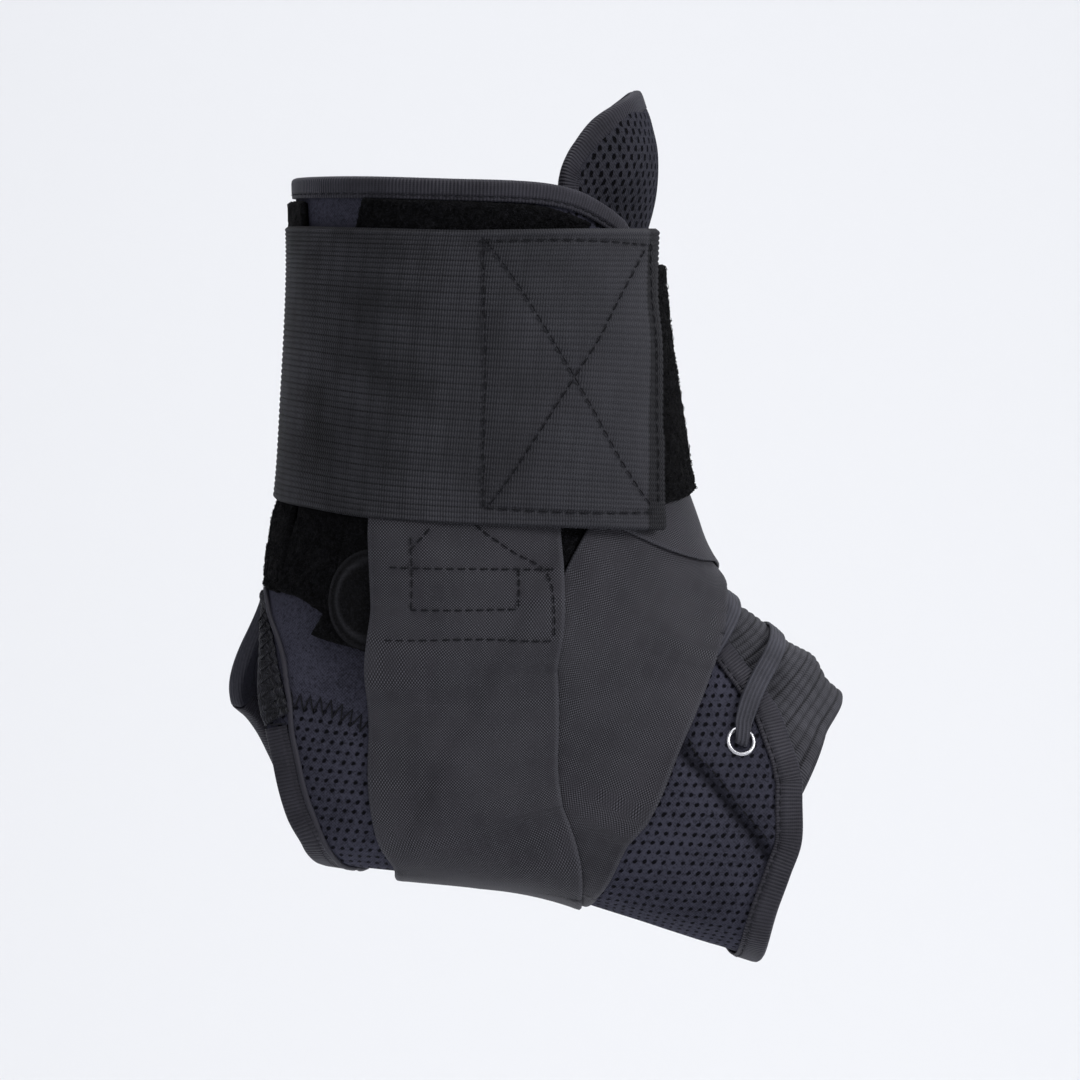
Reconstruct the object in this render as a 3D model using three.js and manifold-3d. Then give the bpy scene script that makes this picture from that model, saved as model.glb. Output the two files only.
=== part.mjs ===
// A lace-up ankle brace for the right foot, in the form it has when worn.
// Millimetres, +X to the toes, +Z up, outer side of the foot at -Y, origin at the middle of the ankle.
// Every layer is placed by three numbers: v, the station along leg and foot, 0 at the top edge;
// phi, the angle round it in degrees, 0 at the front, positive on the outer side; h, the height over the form.
import * as THREE from "three";
import Module from "manifold-3d";

// Sizes of the leg and foot form.
const LEG_HEIGHT = 108.5;
const SOLE_DROP = 88.5;
const FRONT_REACH = 97;
const HEEL_REACH = 66;
const HALF_GIRTH = 39;

// Sizes of the pieces.
const PANEL_THICKNESS = 2.4;
const SEAM_GAP = 0.3;
const SEWN_GAP = 0.45;
const TAPE_THICKNESS = 0.9;
const TAPE_WIDTH = 7;
const HEEL_TAPE_WIDTH = 6.5;
const HEEL_SLACK = 0.8;
const TONGUE_SLACK = 0.95;
const TAPE_CLEARANCE = 0.35;
const TAPE_SLACK = 0.6;
const BAND_THICKNESS = 1.2;
const BAND_WIDTH = 8.5;
const PATCH_THICKNESS = 1.2;
const BACK_TAPE_WIDTH = 26;
const STRAP_WIDTH = 50;
const STRAP_THICKNESS = 1.2;
const LAYER_GAP = 0.7;
const STRAP_GAP = 1.15;
const TAB_RADIUS = 12.5;
const TAB_THICKNESS = 1;
const TONGUE_THICKNESS = 3;
const TONGUE_BULGE = 9;
const ELASTIC_THICKNESS = 1.6;
const ELASTIC_BULGE = 4.5;
const CUFF_THICKNESS = 1.8;
const FLAP_THICKNESS = 1.5;
const EYELET_RADIUS = 4.4;
const EYELET_HOLE = 2.5;
const EYELET_WALL = 0.5;
const EYELET_RISE = 0.6;
const LACE_WIDTH = 5.2;
const LACE_THICKNESS = 1.1;
const LACE_NARROWED = 3.4;

// Stations of the form. Lengths ahead of the ankle are shares of FRONT_REACH, those behind it of HEEL_REACH,
// heights over it of LEG_HEIGHT, those under it of SOLE_DROP, widths of HALF_GIRTH.
// Columns: frontX, frontZ, backX, backZ, halfWidth, widest, frontSquare, backSquare
const STATIONS = [
  [0.438, 1.0, -0.641, 1.0, 1.0, 0.5, 2.1, 2.1],
  [0.446, 0.783, -0.636, 0.783, 0.974, 0.5, 2.1, 2.1],
  [0.472, 0.507, -0.659, 0.507, 0.936, 0.5, 2.1, 2.1],
  [0.499, 0.253, -0.697, 0.221, 0.91, 0.5, 2.1, 2.1],
  [0.563, 0.079, -0.795, -0.034, 0.936, 0.5, 2.1, 2.1],
  [0.666, -0.005, -1.0, -0.339, 0.949, 0.52, 2.1, 2.1],
  [0.756, -0.07, -0.939, -0.644, 0.936, 0.54, 2.1, 2.3],
  [0.835, -0.14, -0.5, -0.734, 0.923, 0.56, 2.1, 2.7],
  [0.902, -0.203, 0.082, -0.79, 0.936, 0.58, 2.1, 2.9],
  [0.954, -0.251, 0.412, -0.88, 0.962, 0.59, 2.1, 2.9],
  [1.0, -0.294, 0.732, -1.0, 0.987, 0.6, 2.1, 2.9],
];

// Outline of a side panel, as runs of [v, phi]: the top edge from the back, the front edge down to the toes,
// the toe end to the middle of the sole, and the back edge, which makes the heel opening in its middle.
// The inner panel's edge of that opening reaches further back, to a corner.
const TOP_EDGE = [[0, 180], [0, 134], [0.03, 100], [0.05, 80], [0.09, 67], [0.18, 56], [0.35, 44]];
const FRONT_EDGE = [
  [[0.35, 44], [0.54, 34], [0.9, 29], [1.5, 28], [3, 29], [4, 29.5]],
  [[4, 29.5], [5, 30], [6.02, 32], [6.86, 36], [7.2, 38]],
  [[7.2, 38], [7.94, 44], [8.97, 57], [9.4, 65]],
];
const TOE_EDGE = [[9.4, 65], [9.77, 81], [9.85, 92], [9.9, 109], [10, 135], [10.06, 155], [10.1, 180]];
const BACK_SEAM = [[0, 180], [1, 180], [2, 180], [3, 180], [3.87, 180]];
const HEEL_UPPER = [[3.87, 180], [3.94, 172], [4.1, 166], [4.36, 156], [4.7, 147], [5.06, 140]];
const HEEL_LOWER = [[5.06, 140], [5.44, 136], [6.12, 135], [6.57, 143], [6.78, 149], [6.9, 160], [7, 180]];
const INNER_HEEL_UPPER = [[3.87, 180], [4.08, 175.5], [4.32, 171], [4.58, 165], [4.82, 158], [5, 150]];
const INNER_HEEL_LOWER = [[5, 150], [5.2, 142.5], [5.5, 137], [6.12, 135], [6.57, 143], [6.78, 149], [6.9, 160], [7, 180]];
const SOLE_SEAM = [[7, 180], [8, 180], [9, 180], [10.1, 180]];

// Loop patch: its top runs under the edge tape, its lower edge steps down behind the vertical strap.
const PATCH_TOP = [[0.36, 134], [0.37, 115], [0.39, 95], [0.43, 75], [0.58, 58]];
const PATCH_FOOT = [[3.73, 162], [3.8, 146], [4.02, 132], [4.42, 116], [4.4, 95], [3.95, 72], [3.7, 58]];

// Middle line of the second strap, from the outer side under the cuff, over the instep, down the inner side,
// under the sole and up the outer side. The first strap is its mirror.
const STRAP_LINE = [
  [2.27, 47], [2.5, 31.7], [2.69, 19.7], [2.88, 7], [3.07, -6.1], [3.27, -19], [3.57, -34.1], [4.01, -43.8],
  [4.63, -51.8], [5.17, -57.5], [5.85, -66.1], [6.35, -73.5], [6.77, -80.5], [7.08, -87.5], [7.35, -95.5],
  [7.66, -112.2], [7.84, -132.5], [7.91, -152], [7.94, -168.9], [7.94, -180], [7.92, -195], [7.83, -215],
  [7.6, -236], [7.2, -251], [6.5, -264], [5.9, -268.5], [5.24, -269.5], [4.6, -267.5], [3.96, -265],
  [3.11, -264], [2.49, -264], [1.83, -264],
];

// Cuff: the height of its two edges round the leg, and the angle of its free end on the outer side.
const CUFF_TOP = [[0.57, 26], [0.56, 62], [0.57, 92], [0.55, 121], [0.53, 155], [0.53, 205], [0.55, 240], [0.6, 330]];
const CUFF_FOOT = [[3.34, 40], [3.18, 66], [3.08, 93], [3, 123], [2.92, 156], [2.92, 204], [3.05, 250], [3.3, 320]];
const FLAP_TOP = [[0.95, 40], [0.95, 20], [0.96, 0], [1, -20], [1.05, -44]];
const FLAP_FOOT = [[3.12, 54], [3.04, 36], [2.98, 0], [3, -20], [3.1, -48]];

// Half the angle that the tongue covers at each station; its tip stands over the top edge.
const TONGUE_HALF_ANGLE = [
  [-1.03, 7], [-0.97, 17], [-0.85, 28], [-0.62, 42], [-0.3, 54], [0, 61], [0.5, 57], [1.2, 50], [2.5, 46],
  [4, 44], [5.4, 42], [6.6, 40],
];
// The inner side of the tongue is narrower over the top edge, by this share.
const TONGUE_INNER_SHARE = 0.8;
// How far the tongue leans out of the leg at its middle, as shares of TONGUE_BULGE, and the half angle of that lean.
const TONGUE_LEAN = [[-1.03, 0.5], [-0.6, 0.9], [-0.25, 1.1], [0.2, 0.95], [0.6, 0.62], [1, 0.25], [1.6, 0], [9, 0]];
const TONGUE_LEAN_ANGLE = [[-0.4, 56], [0, 46], [0.3, 34], [9, 30]];
const INSTEP_HALF_ANGLE = [[5, 46], [6, 48], [7, 52], [8, 58], [9, 64], [9.56, 68]];

// Eyelets of one side, from the toes up, as [v, phi].
const EYELETS = [[8.09, 62], [6.42, 51], [4.9, 47], [3.55, 47], [2.3, 47], [1.2, 48]];

const ROUND = 180;
const clamp = (x, low, high) => Math.min(high, Math.max(low, x));
const ease = (a, b, x) => {
  const t = clamp((x - a) / (b - a), 0, 1);
  return t * t * (3 - 2 * t);
};
const plus = (a, b, k = 1) => [a[0] + b[0] * k, a[1] + b[1] * k, a[2] + b[2] * k];
const minus = (a, b) => plus(a, b, -1);
const dot = (a, b) => a[0] * b[0] + a[1] * b[1] + a[2] * b[2];
const cross = (a, b) => [a[1] * b[2] - a[2] * b[1], a[2] * b[0] - a[0] * b[2], a[0] * b[1] - a[1] * b[0]];
const unit = (a) => plus([0, 0, 0], a, 1 / Math.hypot(...a));
const mirrored = (points) => points.map(([v, phi]) => [v, -phi]);

// Value between four neighbours, smooth through p1 and p2.
function spline(p0, p1, p2, p3, t) {
  return 0.5 * (2 * p1 + (p2 - p0) * t + (2 * p0 - 5 * p1 + 4 * p2 - p3) * t * t
    + (3 * p1 - p0 - 3 * p2 + p3) * t * t * t);
}

function stationRow(k) {
  const last = STATIONS.length - 1;
  if (k < 0) return STATIONS[0].map((p, i) => p + (STATIONS[0][i] - STATIONS[1][i]) * -k);
  if (k > last) return STATIONS[last].map((p, i) => p + (p - STATIONS[last - 1][i]) * (k - last));
  return STATIONS[k];
}

function station(v) {
  const last = STATIONS.length - 1;
  const k = clamp(Math.floor(v), 0, last - 1);
  const rows = [-1, 0, 1, 2].map((i) => stationRow(k + i));
  const shares = v < 0 || v > last ? stationRow(v)
    : rows[1].map((_, i) => spline(rows[0][i], rows[1][i], rows[2][i], rows[3][i], v - k));
  const along = (share) => share * (share > 0 ? FRONT_REACH : HEEL_REACH);
  const height = (share) => share * (share > 0 ? LEG_HEIGHT : SOLE_DROP);
  const [fx, fz, bx, bz, half, ...rest] = shares;
  return [along(fx), height(fz), along(bx), height(bz), half * HALF_GIRTH, ...rest];
}

function formPoint(v, phi) {
  const [fx, fz, bx, bz, half, widest, frontSquare, backSquare] = station(v);
  const c = Math.cos((phi * Math.PI) / ROUND);
  const s = Math.sin((phi * Math.PI) / ROUND);
  const power = 2 / (c >= 0 ? frontSquare : backSquare);
  const depth = widest - Math.sign(c) * Math.abs(c) ** power * (c >= 0 ? widest : 1 - widest);
  return [fx + (bx - fx) * depth, -half * Math.sign(s) * Math.abs(s) ** power, fz + (bz - fz) * depth];
}

const DV = 0.02;
const DPHI = 0.5;
function formNormal(v, phi) {
  const alongV = minus(formPoint(v + DV, phi), formPoint(v - DV, phi));
  const alongPhi = minus(formPoint(v, phi + DPHI), formPoint(v, phi - DPHI));
  return unit(cross(alongPhi, alongV));
}
const lift = (v, phi, h) => plus(formPoint(v, phi), formNormal(v, phi), h);

// The two surface directions at a point, and the step in v and phi that a move along d makes.
function slopes(v, phi, h) {
  const alongV = minus(lift(v + DV, phi, h), lift(v - DV, phi, h)).map((x) => x / (2 * DV));
  const alongPhi = minus(lift(v, phi + DPHI, h), lift(v, phi - DPHI, h)).map((x) => x / (2 * DPHI));
  return [alongV, alongPhi];
}
function stepFor(d, [a, b]) {
  const aa = dot(a, a), ab = dot(a, b), bb = dot(b, b), da = dot(d, a), db = dot(d, b);
  const det = aa * bb - ab * ab;
  return [(da * bb - db * ab) / det, (db * aa - da * ab) / det];
}

// Walks straight over the form at height h and returns the points passed, the start left out.
function walk(v, phi, direction, distance, steps, h) {
  const passed = [];
  let d = direction;
  for (let i = 0; i < steps; i += 1) {
    const surface = slopes(v, phi, h);
    const normal = unit(cross(surface[1], surface[0]));
    d = unit(plus(d, normal, -dot(d, normal)));
    const [dv, dphi] = stepFor(d, surface);
    const length = distance / steps;
    const from = lift(v, phi, h);
    const reached = Math.hypot(...minus(lift(v + dv * length, phi + dphi * length, h), from));
    v += (dv * length * length) / reached;
    phi += (dphi * length * length) / reached;
    d = unit(minus(lift(v, phi, h), from));
    passed.push([v, phi]);
  }
  return passed;
}

// A smooth line through rows of numbers that start with v and phi, as count + 1 rows spaced evenly over the form.
const FINE = 16;
function trace(points, count, h = 0) {
  const last = points.length - 1;
  const ghost = (k) => {
    if (k < 0) return points[0].map((p, i) => 2 * p - points[1][i]);
    if (k > last) return points[last].map((p, i) => 2 * p - points[last - 1][i]);
    return points[k];
  };
  const dense = [];
  for (let k = 0; k < last; k += 1)
    for (let i = 0; i < FINE; i += 1)
      dense.push(points[k].map((_, j) =>
        spline(ghost(k - 1)[j], ghost(k)[j], ghost(k + 1)[j], ghost(k + 2)[j], i / FINE)));
  dense.push(points[last]);
  const spots = dense.map((p) => lift(p[0], p[1], p[2] ?? h));
  const run = [0];
  for (let i = 1; i < spots.length; i += 1) run.push(run[i - 1] + Math.hypot(...minus(spots[i], spots[i - 1])));
  const made = [];
  let k = 0;
  for (let i = 0; i <= count; i += 1) {
    const wanted = (run[run.length - 1] * i) / count;
    while (k < run.length - 2 && run[k + 1] < wanted) k += 1;
    const t = clamp((wanted - run[k]) / (run[k + 1] - run[k]), 0, 1);
    made.push(dense[k].map((p, j) => p + (dense[k + 1][j] - p) * t));
  }
  return made;
}
// Joined runs, each with its own count.
const chain = (runs) => runs.flatMap(([points, count], i) => trace(points, count).slice(i ? 1 : 0));
// Value of a table of [x, y] rows at x.
function lookUp(table, x) {
  const k = clamp(table.findIndex((row) => row[0] > x) - 1, 0, table.length - 2);
  const at = x >= table[table.length - 1][0] ? table.length - 2 : k;
  const [a, b] = [table[at], table[at + 1]];
  return a[1] + (b[1] - a[1]) * clamp((x - a[0]) / (b[0] - a[0]), 0, 1);
}

// One closed body from points and triangles, its faces turned outwards.
const brace = new THREE.Group();
function addMesh(name, colour, points, triangles) {
  const volume = triangles.reduce((sum, [a, b, c]) => sum + dot(points[a], cross(points[b], points[c])), 0);
  const turned = volume < 0 ? triangles.map(([a, b, c]) => [a, c, b]) : triangles;
  const geometry = new THREE.BufferGeometry();
  geometry.setAttribute("position", new THREE.Float32BufferAttribute(points.flat(), 3));
  geometry.setIndex(turned.flat());
  geometry.computeVertexNormals();
  const mesh = new THREE.Mesh(geometry, new THREE.MeshStandardMaterial({ color: colour, roughness: 0.9 }));
  mesh.name = name;
  brace.add(mesh);
  return mesh;
}

// A sheet over a grid of [v, phi] points, between two heights that may vary.
function sheetBody(rows, low, high, shape = (p) => p) {
  const across = rows[0].length;
  const points = [low, high].flatMap((height) =>
    rows.flatMap((row) => row.map(([v, phi]) => shape(lift(v, phi, height(v, phi))))));
  const upper = rows.length * across;
  const triangles = [];
  const face = (a, b, c, d) => triangles.push([a, b, c], [a, c, d]);
  for (let i = 0; i + 1 < rows.length; i += 1)
    for (let j = 0; j + 1 < across; j += 1) {
      const a = i * across + j;
      const corners = [a, a + 1, a + across + 1, a + across];
      face(...corners.map((k) => k + upper));
      face(...corners.reverse());
    }
  const rim = [];
  for (let j = 0; j < across; j += 1) rim.push(j);
  for (let i = 1; i < rows.length; i += 1) rim.push(i * across + across - 1);
  for (let j = across - 2; j >= 0; j -= 1) rim.push((rows.length - 1) * across + j);
  for (let i = rows.length - 2; i > 0; i -= 1) rim.push(i * across);
  rim.forEach((a, i) => {
    const b = rim[(i + 1) % rim.length];
    face(a, b, b + upper, a + upper);
  });
  return [points, triangles];
}

// A body swept through rings of points; open ends are closed by the flat outline of the section.
function sweptBody(rings, outline, closed) {
  const n = rings[0].length;
  const triangles = [];
  const steps = closed ? rings.length : rings.length - 1;
  for (let i = 0; i < steps; i += 1)
    for (let j = 0; j < n; j += 1) {
      const next = ((i + 1) % rings.length) * n;
      const [a, b, c, d] = [i * n + j, i * n + ((j + 1) % n), next + ((j + 1) % n), next + j];
      triangles.push([a, b, c], [a, c, d]);
    }
  if (!closed) {
    const cap = THREE.ShapeUtils.triangulateShape(outline.map(([x, y]) => new THREE.Vector2(x, y)), []);
    const end = (rings.length - 1) * n;
    const area = (corners) => corners.reduce((sum, [x, y], i) => {
      const [x2, y2] = corners[(i + 1) % corners.length];
      return sum + x * y2 - x2 * y;
    }, 0);
    for (const t of cap) {
      const [p, q, r] = area(outline) * area(t.map((k) => outline[k])) > 0 ? t : [...t].reverse();
      triangles.push([p, r, q], [p + end, q + end, r + end]);
    }
  }
  return [rings.flat(), triangles];
}

// A tape folded round an edge: walls on both sides of the layer, whose heights are low and high.
function foldedTape(edge, side, width, wall, low, high, closed = false) {
  const n = edge.length;
  const at = (i) => (closed ? edge[(i + n) % n] : edge[clamp(i, 0, n - 1)]);
  const section = (w) => [
    [w, -TAPE_CLEARANCE - wall], [-TAPE_CLEARANCE - wall, -TAPE_CLEARANCE - wall],
    [-TAPE_CLEARANCE - wall, TAPE_CLEARANCE + wall], [w, TAPE_CLEARANCE + wall],
    [w, TAPE_CLEARANCE], [-TAPE_CLEARANCE, TAPE_CLEARANCE], [-TAPE_CLEARANCE, -TAPE_CLEARANCE], [w, -TAPE_CLEARANCE],
  ];
  const rings = edge.map(([v, phi], i) => {
    const [a, b] = slopes(v, phi, 0);
    const before = lift(...at(i - 1).slice(0, 2), 0);
    const after = lift(...at(i + 1).slice(0, 2), 0);
    const inward = unit(cross(formNormal(v, phi), minus(after, before)));
    const [dv, dphi] = stepFor(inward, [a, b]).map((x) => -x * side);
    return section(width(i)).map(([u, h]) => {
      const [pv, pphi] = [v + dv * u, phi + dphi * u];
      return lift(pv, pphi, (h < 0 ? low(pv, pphi) : high(pv, pphi)) + h);
    });
  });
  return sweptBody(rings, section(width(0)).map(([u, h]) => [u, h + (h > 0 ? 1 : 0)]), closed);
}

// Heights of the layers. The lifts rise over what lies beneath them and fall again beside it.
const panelTop = () => PANEL_THICKNESS;
const tapeFloor = () => -TAPE_SLACK;
const tapeSeat = () => PANEL_THICKNESS + SEAM_GAP;
const tapeTop = tapeSeat() + TAPE_CLEARANCE + TAPE_THICKNESS;
const patchFloor = () => PANEL_THICKNESS + SEWN_GAP;
const patchTop = () => patchFloor() + PATCH_THICKNESS;
const laceTop = tapeTop + LAYER_GAP + LACE_THICKNESS;
const overBare = PANEL_THICKNESS + LAYER_GAP;
const overInstep = overBare + 1.1;
const overPatch = patchTop() + LAYER_GAP;
const overLace = laceTop + STRAP_GAP;
const layer = STRAP_THICKNESS + STRAP_GAP;

const strapLine = trace(STRAP_LINE, 120, overPatch);
const firstSpots = mirrored(strapLine).map(([v, phi]) => lift(v, phi, overPatch));
const secondSpots = strapLine.map(([v, phi]) => lift(v, phi, overPatch));
const nearest = (spots, p) => Math.sqrt(spots.reduce((best, q) =>
  Math.min(best, (p[0] - q[0]) ** 2 + (p[1] - q[1]) ** 2 + (p[2] - q[2]) ** 2), Infinity));
const STRAP_MARGIN = 9;
const STRAP_EASE = 21;
const beside = (spots, v, phi) => 1 - ease(STRAP_WIDTH / 2 + STRAP_MARGIN, STRAP_WIDTH / 2 + STRAP_EASE,
  nearest(spots, lift(v, phi, overPatch)));

// The round tab lies under the second strap, and lifts it.
const TAB_ROOT = [3.83, 95.3];
const TAB_INSET = 3.6;
const tabWay = unit(slopes(...TAB_ROOT, overPatch)[1]);
const tabCentre = walk(...TAB_ROOT, tabWay, STRAP_WIDTH / 2 - TAB_INSET, 8, overPatch)[7];
const tabSpot = lift(...tabCentre, overPatch);
const tabLift = (v, phi) => (TAB_THICKNESS + TAPE_CLEARANCE)
  * (1 - ease(TAB_RADIUS + 12, TAB_RADIUS + 26, Math.hypot(...minus(lift(v, phi, overPatch), tabSpot))));
const wrap = (phi) => Math.abs(((((phi + ROUND) % 360) + 360) % 360) - ROUND);
// A little more room where the straps turn under the sole.
const CHEEK_GAP = 0.55;
const firstFloor = (v, phi) => {
  const turn = wrap(phi);
  const upper = (overPatch - overBare) * (1 - ease(4.7, 5.6, v)) * ease(20, 40, turn);
  const eyelets = (overInstep - overBare + (overLace - overInstep) * ease(0, 29, turn))
    * (1 - ease(62, 84, turn)) * (1 - ease(7, 8, v));
  const cheek = CHEEK_GAP * ease(90, 110, turn) * (1 - ease(140, 160, turn)) * ease(6.5, 7, v);
  return overBare + Math.max(upper, eyelets) + cheek;
};
const firstTop = (v, phi) => firstFloor(v, phi) + STRAP_THICKNESS;
const secondFloor = (v, phi) => firstFloor(v, phi) + tabLift(v, phi) + layer * beside(firstSpots, v, phi);
const secondTop = (v, phi) => secondFloor(v, phi) + STRAP_THICKNESS;
const overStraps = (v, phi) => secondFloor(v, phi) + layer * beside(secondSpots, v, phi);
const flapFloor = (v, phi) => Math.max(overLace, overStraps(v, phi)) + SEAM_GAP;
const flapTop = (v, phi) => flapFloor(v, phi) + FLAP_THICKNESS;
const overFlap = (v, phi) => (1 - ease(62, 82, wrap(phi))) * ease(0.2, 0.5, v);
const cuffFloor = (v, phi) => {
  const plain = overStraps(v, phi);
  return plain + (Math.max(plain, flapFloor(v, phi)) + FLAP_THICKNESS + STRAP_GAP - plain) * overFlap(v, phi);
};
const cuffTop = (v, phi) => cuffFloor(v, phi) + CUFF_THICKNESS;

const underTape = -TAPE_SLACK - TAPE_CLEARANCE - TAPE_THICKNESS;
const insideTop = underTape - TAPE_CLEARANCE - LACE_THICKNESS - TAPE_CLEARANCE;
const hump = (phi, reach) => Math.max(0, Math.cos(clamp(phi / reach, -1, 1) * (Math.PI / 2))) ** 1.5;
const TONGUE_DIP = 4;
const TONGUE_SIDE_DIP = 1.2;
const tongueTop = (v, phi) => insideTop - TONGUE_DIP * ease(4.2, 5.2, v) - TONGUE_SIDE_DIP * ease(30, 44, Math.abs(phi))
  + TONGUE_BULGE * lookUp(TONGUE_LEAN, v) * hump(phi, lookUp(TONGUE_LEAN_ANGLE, v));
const tongueFloor = (v, phi) => tongueTop(v, phi) - TONGUE_THICKNESS;
const ELASTIC_ANGLE = 36;
const ELASTIC_FLARE = 0.5;
const elasticTop = (v, phi) => insideTop
  + ELASTIC_BULGE * hump(phi, ELASTIC_ANGLE) * (ease(5, 6.4, v) + ELASTIC_FLARE * ease(6.9, 8.5, v));
const elasticFloor = (v, phi) => elasticTop(v, phi) - ELASTIC_THICKNESS;

const wasm = await Module();
wasm.setup();
function solid([points, triangles]) {
  const volume = triangles.reduce((sum, [a, b, c]) => sum + dot(points[a], cross(points[b], points[c])), 0);
  const turned = volume < 0 ? triangles.map(([a, b, c]) => [a, c, b]) : triangles;
  return new wasm.Manifold(new wasm.Mesh({
    numProp: 3, vertProperties: new Float32Array(points.flat()), triVerts: new Uint32Array(turned.flat()),
  }));
}
function fromSolid(body) {
  const mesh = body.getMesh();
  const points = Array.from({ length: mesh.numVert }, (_, i) =>
    [0, 1, 2].map((k) => mesh.vertProperties[i * mesh.numProp + k]));
  const triangles = Array.from({ length: mesh.numTri }, (_, i) => [0, 1, 2].map((k) => mesh.triVerts[i * 3 + k]));
  return [points, triangles];
}

// Rings of a body turned about the normal at [v, phi], from [radius, height] pairs.
function turnedRings(v, phi, profile, count) {
  const [alongV] = slopes(v, phi, 0);
  const normal = formNormal(v, phi);
  const x = unit(plus(alongV, normal, -dot(alongV, normal)));
  const y = cross(normal, x);
  return Array.from({ length: count }, (_, i) => {
    const turn = (2 * Math.PI * i) / count;
    return profile.map(([r, h]) => {
      const centre = plus(formPoint(v, phi), normal, h);
      return plus(plus(centre, x, r * Math.cos(turn)), y, r * Math.sin(turn));
    });
  });
}

// A drum along the normal at [v, phi], for cutting a hole.
function drum(v, phi, radius, floor, height) {
  const [alongV] = slopes(v, phi, 0);
  const z = formNormal(v, phi);
  const x = unit(plus(alongV, z, -dot(alongV, z)));
  const y = cross(z, x);
  const placed = [x, y, z, plus(formPoint(v, phi), z, floor)].flatMap((column, i) => [...column, i === 3 ? 1 : 0]);
  return wasm.Manifold.cylinder(height, radius, radius, HOLE_SIDES).transform(placed);
}

// Side panels, with a hole for each eyelet.
const HOLE_SIDES = 8;
const PANEL_COLUMNS = 11;
const FRONT_COUNTS = [6, 13, 4];
const BACK_COUNTS = [6, 5, 8, 4];
function panelGrid(upper, lower) {
  const top = trace(TOP_EDGE, PANEL_COLUMNS).reverse();
  const toe = trace(TOE_EDGE, PANEL_COLUMNS);
  const front = chain(FRONT_EDGE.map((run, i) => [run, FRONT_COUNTS[i]]));
  const back = chain([BACK_SEAM, upper, lower, SOLE_SEAM].map((run, i) => [run, BACK_COUNTS[i]]));
  const n = front.length - 1;
  return front.map((_, j) => top.map((_, i) => {
    const [s, t] = [i / PANEL_COLUMNS, j / n];
    return [0, 1].map((k) => (1 - t) * top[i][k] + t * toe[i][k] + (1 - s) * front[j][k] + s * back[j][k]
      - (1 - s) * (1 - t) * top[0][k] - s * (1 - t) * top[PANEL_COLUMNS][k]
      - (1 - s) * t * toe[0][k] - s * t * toe[PANEL_COLUMNS][k]);
  }));
}
const outerGrid = panelGrid(HEEL_UPPER, HEEL_LOWER);
const innerGrid = panelGrid(INNER_HEEL_UPPER, INNER_HEEL_LOWER);
const holeRadius = EYELET_HOLE + EYELET_WALL + SEAM_GAP;
const SIDES = [["outer", 1], ["inner", -1]];
const turnTo = (rows, sign) => rows.map((row) => row.map(([v, phi]) => [v, phi * sign]));
for (const [side, sign] of SIDES) {
  const clear = ([x, y, z]) => [x, -sign * Math.max(-sign * y, SEAM_GAP / 2), z];
  const holes = EYELETS.map(([v, phi]) => drum(v, phi * sign, holeRadius, -PANEL_THICKNESS, 3 * PANEL_THICKNESS));
  const rows = sign > 0 ? outerGrid.map((row) => [...row].reverse()) : turnTo(innerGrid, sign);
  const body = solid(sheetBody(rows, () => 0, panelTop, clear));
  addMesh(side + "_panel", "#2b2b39", ...fromSolid(body.subtract(wasm.Manifold.union(holes))));
}

// Tape round the top, the two front edges and the toe end, in one loop.
const lastRow = outerGrid.length - 1;
const outerEdge = [...[...outerGrid[0]].reverse(), ...outerGrid.slice(1, -1).map((row) => row[0]), ...outerGrid[lastRow]];
const innerEdge = mirrored(outerEdge).reverse().slice(1, -1).map(([v, phi]) => [v, phi + 2 * ROUND]);
addMesh("edge_tape", "#34343f", ...foldedTape([...outerEdge, ...innerEdge], 1, () => TAPE_WIDTH, TAPE_THICKNESS,
  tapeFloor, tapeSeat, true));

// Heel opening: gathered elastic over its upper half, grosgrain round the lower half.
const upperEnd = BACK_COUNTS[0] + BACK_COUNTS[1];
const [upperHalves, lowerHalves] = [[BACK_COUNTS[0], upperEnd + 1], [upperEnd, upperEnd + BACK_COUNTS[2] + 1]].map(
  ([from, to]) => [outerGrid, innerGrid].map((grid) => grid.map((row) => row[PANEL_COLUMNS]).slice(from, to)));
const turned = (points) => mirrored(points).map(([v, phi]) => [v, phi + 2 * ROUND]);
const upperEdge = [...upperHalves[0].reverse(), ...turned(upperHalves[1]).slice(1)];
const bandWidth = (i) => BAND_WIDTH * (0.35 + 0.65 * ease(0, BACK_COUNTS[1], Math.abs(i - BACK_COUNTS[1])));
addMesh("heel_band", "#1c1c22", ...foldedTape(upperEdge, 1, bandWidth, BAND_THICKNESS, tapeFloor, panelTop));
const START_SHARE = 0.2;
const [lowerOuter, lowerInner] = lowerHalves.map(([first, second, ...rest]) =>
  [first.map((x, k) => x + (second[k] - x) * START_SHARE), second, ...rest]);
const lowerEdge = [...lowerOuter, ...turned(lowerInner).reverse().slice(1)];
addMesh("heel_tape", "#34343f", ...foldedTape(lowerEdge, -1, () => HEEL_TAPE_WIDTH, TAPE_THICKNESS,
  () => -HEEL_SLACK, tapeSeat));

// Black webbing over the back seam of the leg.
const backLine = trace([[0.36, 180], [1, 180], [2, 180], [3, 180], [3.62, 180]], 6);
const ribbon = (line, halfWidth, cells, h) => line.map(([v, phi], i) => {
  const before = lift(...line[Math.max(i - 1, 0)], h);
  const after = lift(...line[Math.min(i + 1, line.length - 1)], h);
  const side = unit(cross(formNormal(v, phi), minus(after, before)));
  const half = halfWidth(i);
  const left = walk(v, phi, side, half, cells, h);
  const right = walk(v, phi, minus([0, 0, 0], side), half, cells, h);
  return [...left.reverse(), [v, phi], ...right];
});
addMesh("back_tape", "#17171c", ...sheetBody(ribbon(backLine, () => BACK_TAPE_WIDTH / 2, 2, panelTop()),
  patchFloor, patchTop));

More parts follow.
